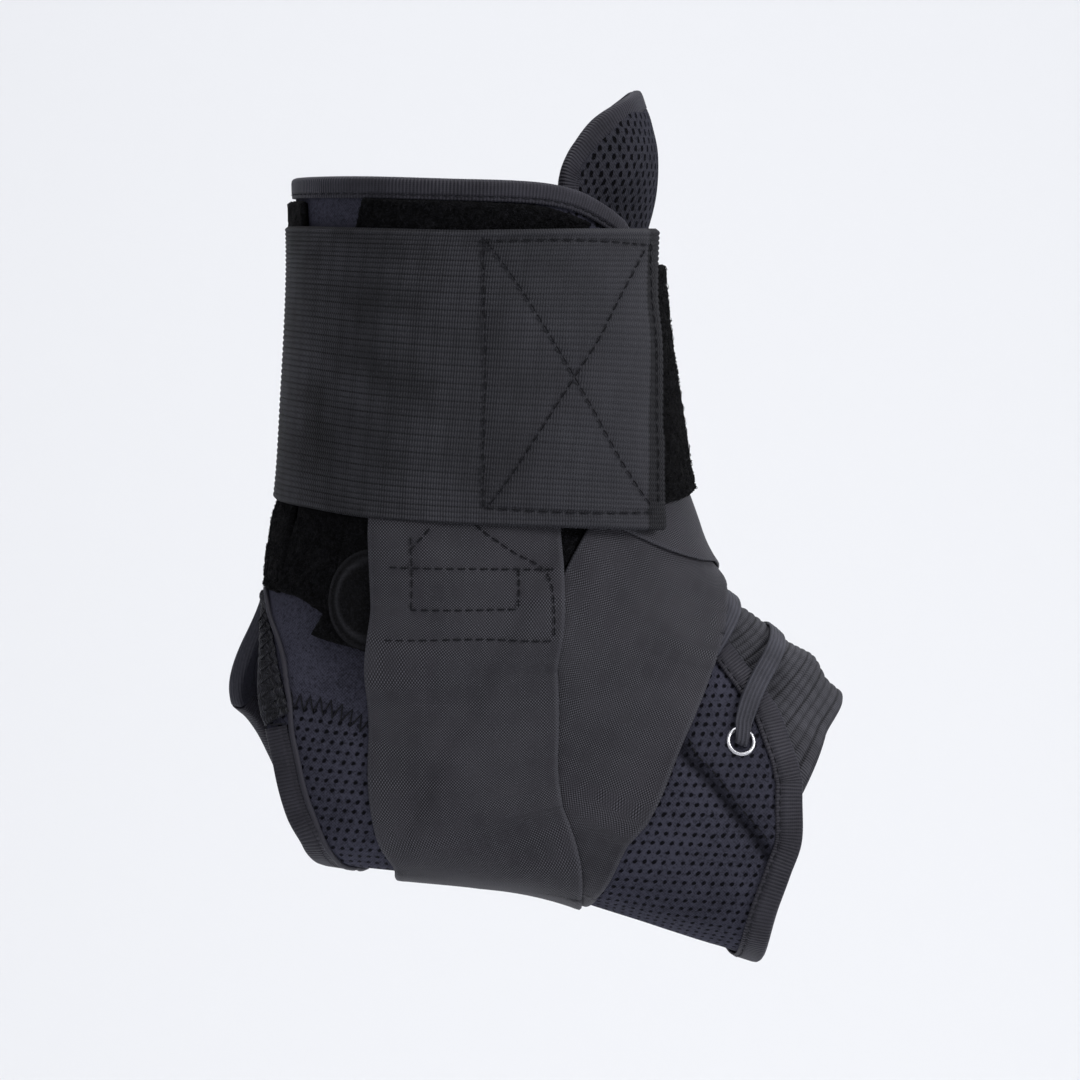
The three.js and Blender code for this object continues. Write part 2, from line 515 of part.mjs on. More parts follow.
// Loop pile on both panels.
const PATCH_COLUMNS = 12;
const PATCH_ROWS = 5;
const patchHead = trace(PATCH_TOP, PATCH_COLUMNS);
const patchEnd = trace(PATCH_FOOT, PATCH_COLUMNS);
const patchRows = Array.from({ length: PATCH_ROWS + 1 }, (_, j) =>
  patchHead.map((p, i) => [0, 1].map((k) => p[k] + (patchEnd[i][k] - p[k]) * (j / PATCH_ROWS))));
for (const [side, sign] of SIDES)
  addMesh(side + "_loop_patch", "#141418", ...sheetBody(turnTo(patchRows, sign), patchFloor, patchTop));

// Round tab of the vertical strap.
const TAB_TAIL = 14;
const tabLine = (() => {
  const [v, phi] = tabCentre;
  const [, alongPhi] = slopes(v, phi, overPatch);
  const ends = [walk(v, phi, minus([0, 0, 0], alongPhi), TAB_TAIL, 2, overPatch),
    walk(v, phi, alongPhi, TAB_RADIUS * 0.97, 5, overPatch)];
  return [...ends[0].reverse(), [v, phi], ...ends[1]];
})();
const tabHalf = (i) => (i < 3 ? TAB_RADIUS : TAB_RADIUS * Math.sqrt(1 - ((0.97 * (i - 2)) / 5) ** 2));
const tabFloor = () => patchTop() + SEWN_GAP;
addMesh("round_tab", "#15151a", ...sheetBody(ribbon(tabLine, tabHalf, 2, overPatch), tabFloor,
  () => tabFloor() + TAB_THICKNESS));

// Straps of the figure of eight.
const STRAP_STEPS = 45;
const strapCentre = trace(STRAP_LINE, STRAP_STEPS, overPatch);
const strapRows = ribbon(strapCentre, () => STRAP_WIDTH / 2, 3, overPatch);
addMesh("first_strap", "#3a3a3e", ...sheetBody(turnTo(strapRows, -1), firstFloor, firstTop));
addMesh("second_strap", "#3a3a3e", ...sheetBody(strapRows, secondFloor, secondTop));

// Tongue and its folded tape.
const tongueStations = [-1.03, -0.96, -0.78, -0.5, -0.2, 0.12, 0.45, 0.85, 1.6, 2.8, 4.1, 4.7, 5.3, 6.6];
const TONGUE_COLUMNS = 10;
const innerShare = (v) => TONGUE_INNER_SHARE + (1 - TONGUE_INNER_SHARE) * ease(0.3, 1.2, v);
const tongueRows = tongueStations.map((v) => Array.from({ length: TONGUE_COLUMNS + 1 }, (_, i) => {
  const phi = lookUp(TONGUE_HALF_ANGLE, v) * (1 - (2 * i) / TONGUE_COLUMNS);
  return [v, phi < 0 ? phi * innerShare(v) : phi];
}));
addMesh("tongue", "#2a2a38", ...sheetBody(tongueRows, tongueFloor, tongueTop));
const ARCH_ROWS = 8;
const archHalf = tongueStations.slice(0, ARCH_ROWS).reverse().map((v) => [v, lookUp(TONGUE_HALF_ANGLE, v)]);
const arch = [...archHalf, ...mirrored(archHalf).map(([v, phi]) => [v, phi * innerShare(v)]).reverse()];
addMesh("tongue_tape", "#34343f", ...foldedTape(arch, 1, () => TAPE_WIDTH * 0.8, TAPE_THICKNESS,
  (v, phi) => tongueFloor(v, phi) - TONGUE_SLACK, (v, phi) => tongueTop(v, phi) + TONGUE_SLACK));

// Ribbed elastic over the instep.
const INSTEP_CURVE = 0.2;
const instepRows = [4.9, 5.4, 5.9, 6.4, 7, 7.6, 8.2, 8.9, 9.56].map((v) => Array.from({ length: 13 }, (_, i) => {
  const phi = lookUp(INSTEP_HALF_ANGLE, v) * (1 - i / 6);
  return [v + INSTEP_CURVE * hump(phi, ELASTIC_ANGLE) * ease(8.2, 9.56, v), phi];
}));
addMesh("instep_elastic", "#3b3b42", ...sheetBody(instepRows, elasticFloor, elasticTop));

// Cuff and the flap under its free end.
const between = (head, foot, across, down) => {
  const [top, end] = [trace(head, across), trace(foot, across)];
  return Array.from({ length: down + 1 }, (_, j) =>
    top.map((p, i) => [0, 1].map((k) => p[k] + (end[i][k] - p[k]) * (j / down))));
};
addMesh("cuff_flap", "#141418", ...sheetBody(between(FLAP_TOP, FLAP_FOOT, 9, 7), flapFloor, flapTop));
addMesh("cuff_elastic", "#36363a", ...sheetBody(between(CUFF_TOP, CUFF_FOOT, 28, 5), cuffFloor, cuffTop));

// Eyelets: a barrel through the panel with a flange on its outer face.
const flange = panelTop() + SEAM_GAP;
const barrel = EYELET_HOLE + EYELET_WALL;
const EYELET_SECTION = [[EYELET_HOLE, -EYELET_RISE], [barrel, -EYELET_RISE], [barrel, flange],
  [EYELET_RADIUS, flange], [EYELET_HOLE, flange + EYELET_RISE]];
for (const [side, sign] of SIDES)
  EYELETS.forEach(([v, phi], k) => addMesh(`${side}_eyelet_${k + 1}`, "#c9c9cc",
    ...sweptBody(turnedRings(v, phi * sign, EYELET_SECTION, HOLE_SIDES), [], true)));

// One lace: bars over the outside from side to side, and runs up the inside of the panels between them.
const OUTSIDE = flange + EYELET_RISE + SEWN_GAP + LACE_THICKNESS / 2;
const OVER_TAPE = tapeTop + LAYER_GAP + LACE_THICKNESS / 2;
const INSIDE = underTape - LACE_THICKNESS / 8;
// Bars, as [row, station of its middle, height of its middle].
const BARS = [[0, 6.66, 2.6], [1, 5.3, 1.9], [2, 4.2, 0.6], [3, 3.25, 0.6], [4, 2.17, 0.6]];
const BAR_SHARES = [1, 0.8, 0.66, 0.53, 0.34, 0.17, 0];
const BAR_BEND = 1.7;
const TAPE_SHARE = 0.53;
// Stations of the lace: [v, phi, h, width, turn], turn 0 with its width along the foot, 1 round it.
function bar([row, middle, rise], sign) {
  const [v, phi] = EYELETS[row];
  const half = BAR_SHARES.map((t) => {
    const h = t > TAPE_SHARE ? OVER_TAPE : rise + (OVER_TAPE - rise) * ease(0.1, TAPE_SHARE, t);
    return [middle + (v - middle) * t ** BAR_BEND, phi * t, t === 1 ? OUTSIDE : h, t === 1 ? LACE_NARROWED : LACE_WIDTH, 0];
  }).slice(1);
  const across = half.slice(0, -1).reverse().map(([a, b, ...rest]) => [a, -b, ...rest]);
  return [...half, ...across].map(([a, b, ...rest]) => [a, b * sign, ...rest]);
}
function throughHole(row, sign, inwards) {
  const [v, phi] = EYELETS[row];
  const down = [[OUTSIDE - 0.2, 0], [PANEL_THICKNESS * 0.75, 0.2], [PANEL_THICKNESS * 0.1, 0.8], [INSIDE, 1]];
  const made = down.map(([h, turn]) => [v, phi * sign, h, LACE_NARROWED, turn]);
  return inwards ? made : made.reverse();
}
// Up the inside from one row to another, round the eyelets between them.
const ASIDE = 13;
function inside(from, to, sign) {
  const [[v, phi], [v2, phi2]] = [EYELETS[from], EYELETS[to]];
  const passes = Math.abs(to - from) > 1;
  return [0.25, 0.5, 0.75].map((t) =>
    [v + (v2 - v) * t, sign * (phi + (phi2 - phi) * t + (passes ? ASIDE : 0)), INSIDE, LACE_WIDTH, 1]);
}
const tail = (sign) => [[1.17, 52], [1.15, 58], [1.15, 64]].map(([v, phi], i) =>
  [v, phi * sign, patchTop() + SEAM_GAP + LACE_THICKNESS / 2, LACE_WIDTH, 0]);
const laceStations = [
  ...tail(1).reverse(), ...throughHole(5, 1, true), ...inside(5, 3, 1), ...throughHole(3, 1, false), ...bar(BARS[3], 1),
  ...throughHole(3, -1, true), ...inside(3, 1, -1), ...throughHole(1, -1, false), ...bar(BARS[1], -1),
  ...throughHole(1, 1, true), ...inside(1, 0, 1), ...throughHole(0, 1, false), ...bar(BARS[0], 1),
  ...throughHole(0, -1, true), ...inside(0, 2, -1), ...throughHole(2, -1, false), ...bar(BARS[2], -1),
  ...throughHole(2, 1, true), ...inside(2, 4, 1), ...throughHole(4, 1, false), ...bar(BARS[4], 1),
  ...throughHole(4, -1, true), ...inside(4, 5, -1), ...throughHole(5, -1, false), ...tail(-1),
];
const laceSpots = laceStations.map(([v, phi, h]) => lift(v, phi, h));
const laceRings = laceStations.map(([v, phi, h, width, turn], i) => {
  const tangent = unit(minus(laceSpots[Math.min(i + 1, laceSpots.length - 1)], laceSpots[Math.max(i - 1, 0)]));
  const [alongV, alongPhi] = slopes(v, phi, h);
  const wanted = plus(unit(alongV).map((x) => x * Math.cos((turn * Math.PI) / 2)), unit(alongPhi),
    Math.sin((turn * Math.PI) / 2));
  const across = unit(plus(wanted, tangent, -dot(wanted, tangent)));
  const up = cross(tangent, across);
  return [[1, 1], [-1, 1], [-1, -1], [1, -1]].map(([x, y]) =>
    plus(plus(laceSpots[i], across, (x * width) / 2), up, (y * LACE_THICKNESS) / 2));
});
addMesh("lace", "#3c3c44", ...sweptBody(laceRings, [[1, 1], [-1, 1], [-1, -1], [1, -1]], false));

export default brace;
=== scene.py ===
"""Scene of the lace-up ankle brace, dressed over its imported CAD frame. Metres, +X to the toes, +Z up."""
import math
import bpy
import numpy as np
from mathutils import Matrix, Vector, kdtree


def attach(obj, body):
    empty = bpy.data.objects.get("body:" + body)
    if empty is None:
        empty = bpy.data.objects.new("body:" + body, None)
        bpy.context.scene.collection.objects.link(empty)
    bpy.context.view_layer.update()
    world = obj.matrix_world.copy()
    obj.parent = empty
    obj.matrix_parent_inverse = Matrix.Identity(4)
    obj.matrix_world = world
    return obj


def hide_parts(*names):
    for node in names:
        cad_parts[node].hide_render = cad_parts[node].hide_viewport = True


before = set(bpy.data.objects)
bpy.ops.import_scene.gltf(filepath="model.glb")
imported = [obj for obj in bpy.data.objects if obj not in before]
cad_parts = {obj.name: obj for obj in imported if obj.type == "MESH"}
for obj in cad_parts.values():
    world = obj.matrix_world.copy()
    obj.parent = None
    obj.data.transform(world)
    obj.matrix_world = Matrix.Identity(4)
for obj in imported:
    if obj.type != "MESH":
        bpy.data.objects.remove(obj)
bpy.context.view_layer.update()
rng = np.random.default_rng(7)
MM = 0.001

# Camera: a long lens, level with the ankle, at the outer side of the foot.
# The photograph shows 0.26 mm a pixel at the ankle, over 1080 pixels.
VIEW_TARGET = Vector((18.2, 0, 15.6)) * MM
VIEW_AZIMUTH, VIEW_ELEVATION, VIEW_DISTANCE = math.radians(-6), math.radians(5), 0.9
VIEW_WIDTH = 1080 * 0.26 * MM
back = Vector((math.sin(VIEW_AZIMUTH) * math.cos(VIEW_ELEVATION),
               -math.cos(VIEW_AZIMUTH) * math.cos(VIEW_ELEVATION), math.sin(VIEW_ELEVATION)))
camera = bpy.data.objects.new("camera", bpy.data.cameras.new("camera"))
camera.location = VIEW_TARGET + back * VIEW_DISTANCE
camera.rotation_euler = (-back).to_track_quat("-Z", "Y").to_euler()
camera.data.lens = camera.data.sensor_width * VIEW_DISTANCE / VIEW_WIDTH
camera.data.clip_start = 0.05
bpy.context.collection.objects.link(camera)
bpy.context.scene.camera = camera
bpy.context.scene.view_settings.view_transform = "Standard"

# Backdrop: seamless studio paper, matt and pale, rolled from the wall over a bend to the floor.
# The brace hangs well above it, so its shadow falls below the picture.
PAPER_COLOUR = "#E2E3E6"
PAPER_FLOOR, PAPER_WALL, PAPER_BEND, PAPER_WIDTH = -0.42, 1.5, 0.8, 7.0


def linear(colour):
    """Turns an sRGB hex value to linear red, green, blue, alpha."""
    parts = [int(colour[i:i + 2], 16) / 255 for i in (1, 3, 5)]
    return (*[c / 12.92 if c <= 0.04045 else ((c + 0.055) / 1.055) ** 2.4 for c in parts], 1)


def add(tree, kind, inputs=None, **settings):
    """Adds a node with its settings; an input takes a value or the socket that feeds it."""
    made = tree.nodes.new("ShaderNode" + kind)
    for key, value in settings.items():
        setattr(made, key, value)
    for key, value in (inputs or {}).items():
        if isinstance(value, bpy.types.NodeSocket):
            tree.links.new(value, made.inputs[key])
        else:
            made.inputs[key].default_value = value
    return made


def new_material(name):
    """A material with its own empty shader tree, and its output."""
    made = bpy.data.materials.new(name)
    made.use_nodes = True
    made.node_tree.nodes.clear()
    return made, made.node_tree, add(made.node_tree, "OutputMaterial")


def new_object(name, points, faces, material, smooth=True):
    """A mesh object from points in millimetres."""
    mesh = bpy.data.meshes.new(name)
    mesh.from_pydata((np.asarray(points, float) * MM).tolist(), [], faces)
    mesh.polygons.foreach_set("use_smooth", [smooth] * len(mesh.polygons))
    mesh.materials.append(material)
    made = bpy.data.objects.new(name, mesh)
    bpy.context.collection.objects.link(made)
    return made


paper, tree, out = new_material("seamless_paper")
grain = add(tree, "TexNoise", {"Scale": 900.0, "Detail": 2.0})
rough = add(tree, "Bump", {"Strength": 0.05, "Distance": 0.0002, "Height": grain.outputs["Fac"]})
shade = add(tree, "BsdfPrincipled", {"Base Color": linear(PAPER_COLOUR), "Roughness": 0.95,
                                     "Specular IOR Level": 0.1, "Normal": rough.outputs["Normal"]})
tree.links.new(shade.outputs["BSDF"], out.inputs["Surface"])
bend = [(PAPER_WALL - PAPER_BEND + PAPER_BEND * math.sin(a), PAPER_FLOOR + PAPER_BEND * (1 - math.cos(a)))
        for a in np.linspace(0, math.pi / 2, 25)]
profile = [(-4.0, PAPER_FLOOR), *bend, (PAPER_WALL, 4.0)]
sweep = [(x / MM, y / MM, z / MM) for y, z in profile for x in (-PAPER_WIDTH / 2, PAPER_WIDTH / 2)]
backdrop = new_object("backdrop", sweep,
                      [(2 * i, 2 * i + 1, 2 * i + 3, 2 * i + 2) for i in range(len(profile) - 1)],
                      paper)

# Lights: a soft box each side of the camera, a broad one overhead, and pale room light.
SOFT_BOXES = [((-1.0, -1.5, 0.8), 0.8, 4), ((1.4, -1.1, 0.9), 0.7, 25), ((0.1, 0.1, 1.7), 1.2, 24)]
for k, (place, size, watts) in enumerate(SOFT_BOXES):
    lamp = bpy.data.objects.new(f"soft_box_{k}", bpy.data.lights.new(f"soft_box_{k}", "AREA"))
    lamp.data.energy, lamp.data.size = watts, size
    lamp.location = place
    lamp.rotation_euler = (VIEW_TARGET - Vector(place)).to_track_quat("-Z", "Y").to_euler()
    bpy.context.collection.objects.link(lamp)
room = bpy.data.worlds.new("room")
room.use_nodes = True
room.node_tree.nodes["Background"].inputs["Color"].default_value = linear("#F3F4F7")
room.node_tree.nodes["Background"].inputs["Strength"].default_value = 0.5
bpy.context.scene.world = room

# Side panels: spacer mesh, 2.4 mm, cut flat and sewn up the back and under the sole.
# Its face is a warp knit with staggered holes; behind the ankle it is faced with smooth knit,
# and a second layer of the mesh backs the eyelets at the front.
# The stations below are the leg and foot that the brace is shaped on, as in the part's source.
LEG_HEIGHT, SOLE_DROP, FRONT_REACH, HEEL_REACH, HALF_GIRTH = 108.5, 88.5, 97, 66, 39
STATIONS = np.array([
    [0.438, 1.0, -0.641, 1.0, 1.0, 0.5, 2.1, 2.1],
    [0.446, 0.783, -0.636, 0.783, 0.974, 0.5, 2.1, 2.1],
    [0.472, 0.507, -0.659, 0.507, 0.936, 0.5, 2.1, 2.1],
    [0.499, 0.253, -0.697, 0.221, 0.91, 0.5, 2.1, 2.1],
    [0.563, 0.079, -0.795, -0.034, 0.936, 0.5, 2.1, 2.1],
    [0.666, -0.005, -1.0, -0.339, 0.949, 0.52, 2.1, 2.1],
    [0.756, -0.07, -0.939, -0.644, 0.936, 0.54, 2.1, 2.3],
    [0.835, -0.14, -0.5, -0.734, 0.923, 0.56, 2.1, 2.7],
    [0.902, -0.203, 0.082, -0.79, 0.936, 0.58, 2.1, 2.9],
    [0.954, -0.251, 0.412, -0.9, 0.962, 0.59, 2.1, 2.9],
    [1.0, -0.294, 0.732, -1.02, 0.987, 0.6, 2.1, 2.9]])
PANEL_THICKNESS = 2.4
TOP_EDGE = [[0, 180], [0, 134], [0.03, 100], [0.05, 80], [0.09, 67], [0.18, 56], [0.35, 44]]
FRONT_EDGE = [
    [[0.35, 44], [0.54, 34], [0.9, 29], [1.5, 28], [3, 29], [4, 29.5]],
    [[4, 29.5], [5, 30], [6.02, 32], [6.86, 36], [7.2, 38]],
    [[7.2, 38], [7.94, 44], [8.97, 57], [9.4, 65]]]
TOE_EDGE = [[9.4, 65], [9.77, 81], [9.85, 92], [9.9, 109], [10, 135], [10.06, 155], [10.1, 180]]
BACK_SEAM = [[0, 180], [1, 180], [2, 180], [3, 180], [3.87, 180]]
HEEL_UPPER = [[3.87, 180], [3.94, 172], [4.1, 166], [4.36, 156], [4.7, 147], [5.06, 140]]
HEEL_LOWER = [[5.06, 140], [5.44, 136.5], [5.87, 136], [6.24, 139.6], [6.5, 148], [6.7, 158], [6.86, 168], [7, 180]]
INNER_HEEL_UPPER = [[3.87, 180], [4.08, 175], [4.32, 169.5], [4.58, 163], [4.82, 157.5], [5.02, 153]]
INNER_HEEL_LOWER = [[5.02, 153], [5.22, 144.5], [5.5, 138.5], [5.87, 136], [6.24, 139.6], [6.5, 148], [6.7, 158], [6.86, 168],
                    [7, 180]]
SOLE_SEAM = [[7, 180], [8, 180], [9, 180], [10.1, 180]]
PANEL_CELLS, FRONT_CELLS, BACK_CELLS = 66, [36, 78, 24], [36, 30, 48, 24]
EYELETS = [[8.09, 62], [6.42, 51], [4.9, 47], [3.55, 47], [2.3, 47], [1.2, 48]]
FACING_EDGE = [[7.2, 64], [7.84, 72], [8.44, 78], [9.09, 84], [9.6, 90]]
FACING_THICKNESS, CREASE_PLACE, CREASE_WIDTH, FACING_SHADE = 0.7, 1.2, 1.5, 0.18
LYCRA_EDGE = [[4.72, 140], [4.86, 133], [5.01, 121], [5.3, 110], [5.4, 95], [5.3, 60], [5.2, 20]]
SIDES = (("outer", 1), ("inner", -1))


def unit(a):
    return a / np.linalg.norm(a, axis=-1, keepdims=True)


def ease(a, b, x):
    t = np.clip((x - a) / (b - a), 0, 1)
    return t * t * (3 - 2 * t)


def spline(p0, p1, p2, p3, t):
    """Value between four neighbours, smooth through p1 and p2."""
    return 0.5 * (2 * p1 + (p2 - p0) * t + (2 * p0 - 5 * p1 + 4 * p2 - p3) * t * t
                  + (3 * p1 - p0 - 3 * p2 + p3) * t ** 3)


def station(v):
    """The form's section at v: front, back, half width and squareness."""
    v = np.asarray(v, float)
    last = len(STATIONS) - 1
    rows = np.vstack([2 * STATIONS[0] - STATIONS[1], STATIONS, 2 * STATIONS[-1] - STATIONS[-2]])
    k = np.clip(np.floor(v).astype(int), 0, last - 1)
    t = (v - k)[..., None]
    made = spline(rows[k], rows[k + 1], rows[k + 2], rows[k + 3], t)
    made = np.where(v[..., None] < 0, STATIONS[0] + (STATIONS[0] - STATIONS[1]) * -v[..., None], made)
    made = np.where(v[..., None] > last,
                    STATIONS[-1] + (STATIONS[-1] - STATIONS[-2]) * (v[..., None] - last), made)
    along = lambda s: s * np.where(s > 0, FRONT_REACH, HEEL_REACH)
    height = lambda s: s * np.where(s > 0, LEG_HEIGHT, SOLE_DROP)
    return [along(made[..., 0]), height(made[..., 1]), along(made[..., 2]), height(made[..., 3]),
            made[..., 4] * HALF_GIRTH, made[..., 5], made[..., 6], made[..., 7]]


def form_point(v, phi):
    """Point of the bare leg and foot at station v and angle phi."""
    fx, fz, bx, bz, half, widest, front, rear = station(v)
    c, s = np.cos(np.radians(phi)), np.sin(np.radians(phi))
    power = 2 / np.where(c >= 0, front, rear)
    depth = widest - np.sign(c) * np.abs(c) ** power * np.where(c >= 0, widest, 1 - widest)
    return np.stack([fx + (bx - fx) * depth, -half * np.sign(s) * np.abs(s) ** power,
                     fz + (bz - fz) * depth], -1)


def form_normal(v, phi):
    along_v = form_point(v + 0.02, phi) - form_point(v - 0.02, phi)
    return unit(np.cross(form_point(v, phi + 0.5) - form_point(v, phi - 0.5), along_v))


def lift(v, phi, h):
    """Point at height h over the form."""
    v, phi, h = np.broadcast_arrays(np.asarray(v, float), np.asarray(phi, float), np.asarray(h, float))
    return form_point(v, phi) + form_normal(v, phi) * h[..., None]


def slopes(v, phi, h):
    return ((lift(v + 0.02, phi, h) - lift(v - 0.02, phi, h)) / 0.04,
            (lift(v, phi + 0.5, h) - lift(v, phi - 0.5, h)))


def step_for(d, a, b):
    """The step in v and phi that a move along d makes."""
    aa, ab, bb = (a * a).sum(-1), (a * b).sum(-1), (b * b).sum(-1)
    da, db = (d * a).sum(-1), (d * b).sum(-1)
    det = aa * bb - ab * ab
    return (da * bb - db * ab) / det, (db * aa - da * ab) / det


def walk(v, phi, direction, distance, steps, h):
    """Walks straight over the form from many points at once; returns the points passed."""
    passed, d, length = [], unit(direction), distance / steps
    for _ in range(steps):
        a, b = slopes(v, phi, h)
        normal = unit(np.cross(b, a))
        d = unit(d - normal * (d * normal).sum(-1, keepdims=True))
        dv, dphi = step_for(d, a, b)
        start = lift(v, phi, h)
        reached = np.linalg.norm(lift(v + dv * length, phi + dphi * length, h) - start, axis=-1)
        scale = length * length / np.maximum(reached, 1e-6)
        v, phi = v + dv * scale, phi + dphi * scale
        d = unit(lift(v, phi, h) - start)
        passed.append((v, phi))
    return passed


def dense_line(points, fine=16):
    """Smooth line through rows of numbers."""
    p = np.asarray(points, float)
    p = np.vstack([2 * p[0] - p[1], p, 2 * p[-1] - p[-2]])
    t = (np.arange(fine) / fine)[:, None]
    runs = [spline(p[k], p[k + 1], p[k + 2], p[k + 3], t) for k in range(len(p) - 3)]
    return np.vstack([*runs, p[-2:-1]])


def trace(points, count, h=0.0):
    """The line as count + 1 rows spaced evenly over the form."""
    line = dense_line(points)
    spots = lift(line[:, 0], line[:, 1], line[:, 2] if line.shape[1] > 2 else h)
    run = np.concatenate([[0], np.cumsum(np.linalg.norm(np.diff(spots, axis=0), axis=1))])
    wanted = np.linspace(0, run[-1], count + 1)
    return np.stack([np.interp(wanted, run, line[:, j]) for j in range(line.shape[1])], 1)


def chain(runs, counts):
    made = [trace(points, count) for points, count in zip(runs, counts)]
    return np.vstack([made[0], *[m[1:] for m in made[1:]]])


def unrolled(v, phi):
    """Where a point of the side lies in the flat cut, in millimetres: the picture plane, carried on round the leg."""
    middle = form_point(v, np.full_like(phi, 90.0))
    ring = np.linspace(0, 180, 61)
    fx, fz, bx, bz = station(v)[:4]
    axis = unit(np.stack([bx - fx, bz - fz], -1))
    spots = form_point(v[..., None], ring)
    run = np.concatenate([np.zeros(v.shape + (1,)),
                          np.cumsum(np.linalg.norm(np.diff(spots, axis=-2), axis=-1), -1)], -1)
    at = np.clip(np.abs(phi) / 3, 0, 59.999)
    k = at.astype(int)
    pick = lambda i: np.take_along_axis(run, i[..., None], -1)[..., 0]
    arc = pick(k) + (pick(k + 1) - pick(k)) * (at - k) - run[..., 30]
    return middle[..., [0, 2]] + axis * arc[..., None]


def off_line(v, phi, line, h=PANEL_THICKNESS):
    """Signed distance over the form from a line, and how far along the line its foot is."""
    path = lift(*trace(line, 120, h)[:, :2].T, h)
    spots = lift(v, phi, h)
    flat = spots.reshape(-1, 3)
    near = np.empty(len(flat), int)
    for s in range(0, len(flat), 4000):
        near[s:s + 4000] = ((flat[s:s + 4000, None] - path) ** 2).sum(-1).argmin(1)
    near = np.clip(near, 1, len(path) - 2)
    gap = flat - path[near]
    ahead = unit(path[near + 1] - path[near - 1])
    across = np.cross(form_normal(v, phi).reshape(-1, 3), ahead)
    gap -= ahead * (gap * ahead).sum(-1, keepdims=True)
    return ((gap * across).sum(-1).reshape(v.shape), near.reshape(v.shape) / 120)


def at_points(made, name, values):
    """Keeps three numbers at each point of a piece, for its material."""
    made.data.attributes.new(name, "FLOAT_VECTOR", "POINT").data.foreach_set("vector", values.ravel())


def run_of(spots):
    """Distance run along a line of points."""
    return np.concatenate([[0], np.cumsum(np.linalg.norm(np.diff(spots, axis=0), axis=1))])


def rows_run(face):
    """Distance run along each row of a grid of points."""
    steps = np.linalg.norm(np.diff(face, axis=1), axis=-1)
    return np.concatenate([np.zeros((len(face), 1)), np.cumsum(steps, 1)], 1)


def sheet_body(name, v, phi, floor, top, flat, material, round_rim=0.35):
    """A closed layer of cloth over a grid of stations and angles, with a rounded rim.
    Its point attribute cloth holds the place in the flat cut in millimetres, and 1 outside or 0 inside."""
    rows, columns = v.shape
    outside, inside = lift(v, phi, top), lift(v, phi, floor)
    rim = [(0, j) for j in range(columns)] + [(i, columns - 1) for i in range(1, rows)]
    rim += [(rows - 1, j) for j in range(columns - 2, -1, -1)] + [(i, 0) for i in range(rows - 2, 0, -1)]
    ri, rj = np.array(rim).T
    middle = (outside[ri, rj] + inside[ri, rj]) / 2
    thickness = np.linalg.norm(outside[ri, rj] - inside[ri, rj], axis=1, keepdims=True)
    ahead = unit(np.roll(middle, -1, 0) - np.roll(middle, 1, 0))
    away = unit(np.cross(ahead, form_normal(v[ri, rj], phi[ri, rj])))
    inner_i, inner_j = np.clip(ri, 1, rows - 2), np.clip(rj, 1, columns - 2)
    sign = np.sign(((middle - outside[inner_i, inner_j]) * away).sum())
    bulge = middle + away * sign * thickness * round_rim
    points = np.vstack([outside.reshape(-1, 3), inside.reshape(-1, 3), bulge])
    cell = (np.arange(rows - 1)[:, None] * columns + np.arange(columns - 1)).ravel()
    quads = np.stack([cell, cell + 1, cell + columns + 1, cell + columns], 1)
    n = rows * columns
    ring = ri * columns + rj
    nxt = np.roll(ring, -1)
    bul = 2 * n + np.arange(len(ring))
    bul_next = np.roll(bul, -1)
    faces = np.vstack([quads, (quads + n)[:, ::-1], np.stack([nxt, ring, bul, bul_next], 1),
                       np.stack([bul_next, bul, ring + n, nxt + n], 1)])
    a, b, c = points[faces[:, 0]], points[faces[:, 1]], points[faces[:, 2]]
    if (a * np.cross(b, c)).sum() < 0:
        faces = faces[:, ::-1]
    made = new_object(name, points, faces.tolist(), material)
    cloth = np.zeros((len(points), 3))
    cloth[:n, :2] = cloth[n:2 * n, :2] = flat.reshape(-1, 2)
    cloth[:n, 2] = 1
    cloth[2 * n:, :2] = flat[ri, rj]
    cloth[2 * n:, 2] = 0.5
    at_points(made, "cloth", cloth)
    return made


def dress(piece, slot, *nodes):
    """Rides the piece on the brace, in the place of its CAD nodes; slot is not used."""
    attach(piece, "root")
    if nodes:
        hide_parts(*nodes)


def wave(tree, source, axis, pitch, phase=0.0):
    """Cosine along one axis of a vector in millimetres, one turn a pitch."""
    apart = add(tree, "SeparateXYZ", {0: source})
    turned = add(tree, "Math", {0: apart.outputs[axis], 1: 2 * math.pi / pitch, 2: phase}, operation="MULTIPLY_ADD")
    return add(tree, "Math", {0: turned.outputs[0]}, operation="COSINE").outputs[0]


def joined(tree, operation, a, b, clamp=False):
    return add(tree, "Math", {0: a, 1: b}, operation=operation, use_clamp=clamp).outputs[0]


def scaled(tree, value, low, high, to_low, to_high):
    """The value from low..high turned to to_low..to_high, and held between them."""
    return add(tree, "MapRange", {0: value, 1: low, 2: high, 3: to_low, 4: to_high}).outputs[0]


def blended(tree, share, a, b, mode="MIX"):
    made = add(tree, "Mix", {0: share}, data_type="RGBA", blend_type=mode)
    for key, value in ((6, a), (7, b)):
        if isinstance(value, bpy.types.NodeSocket):
            tree.links.new(value, made.inputs[key])
        else:
            made.inputs[key].default_value = linear(value)
    return made.outputs[2]


def cloth_shader(tree, out, colour, relief, depth, roughness, sheen=0.08, sheen_tint="#8C90A8", specular=0.12):
    """Matt fibre: a rough shader with a fibre sheen, its relief in millimetres."""
    bump = add(tree, "Bump", {"Strength": 1.0, "Distance": depth * MM, "Height": relief})
    shade = add(tree, "BsdfPrincipled", {
        "Base Color": colour, "Roughness": roughness, "Specular IOR Level": specular, "Sheen Weight": sheen,
        "Sheen Roughness": 0.45, "Sheen Tint": linear(sheen_tint), "Normal": bump.outputs["Normal"]})
    tree.links.new(shade.outputs["BSDF"], out.inputs["Surface"])


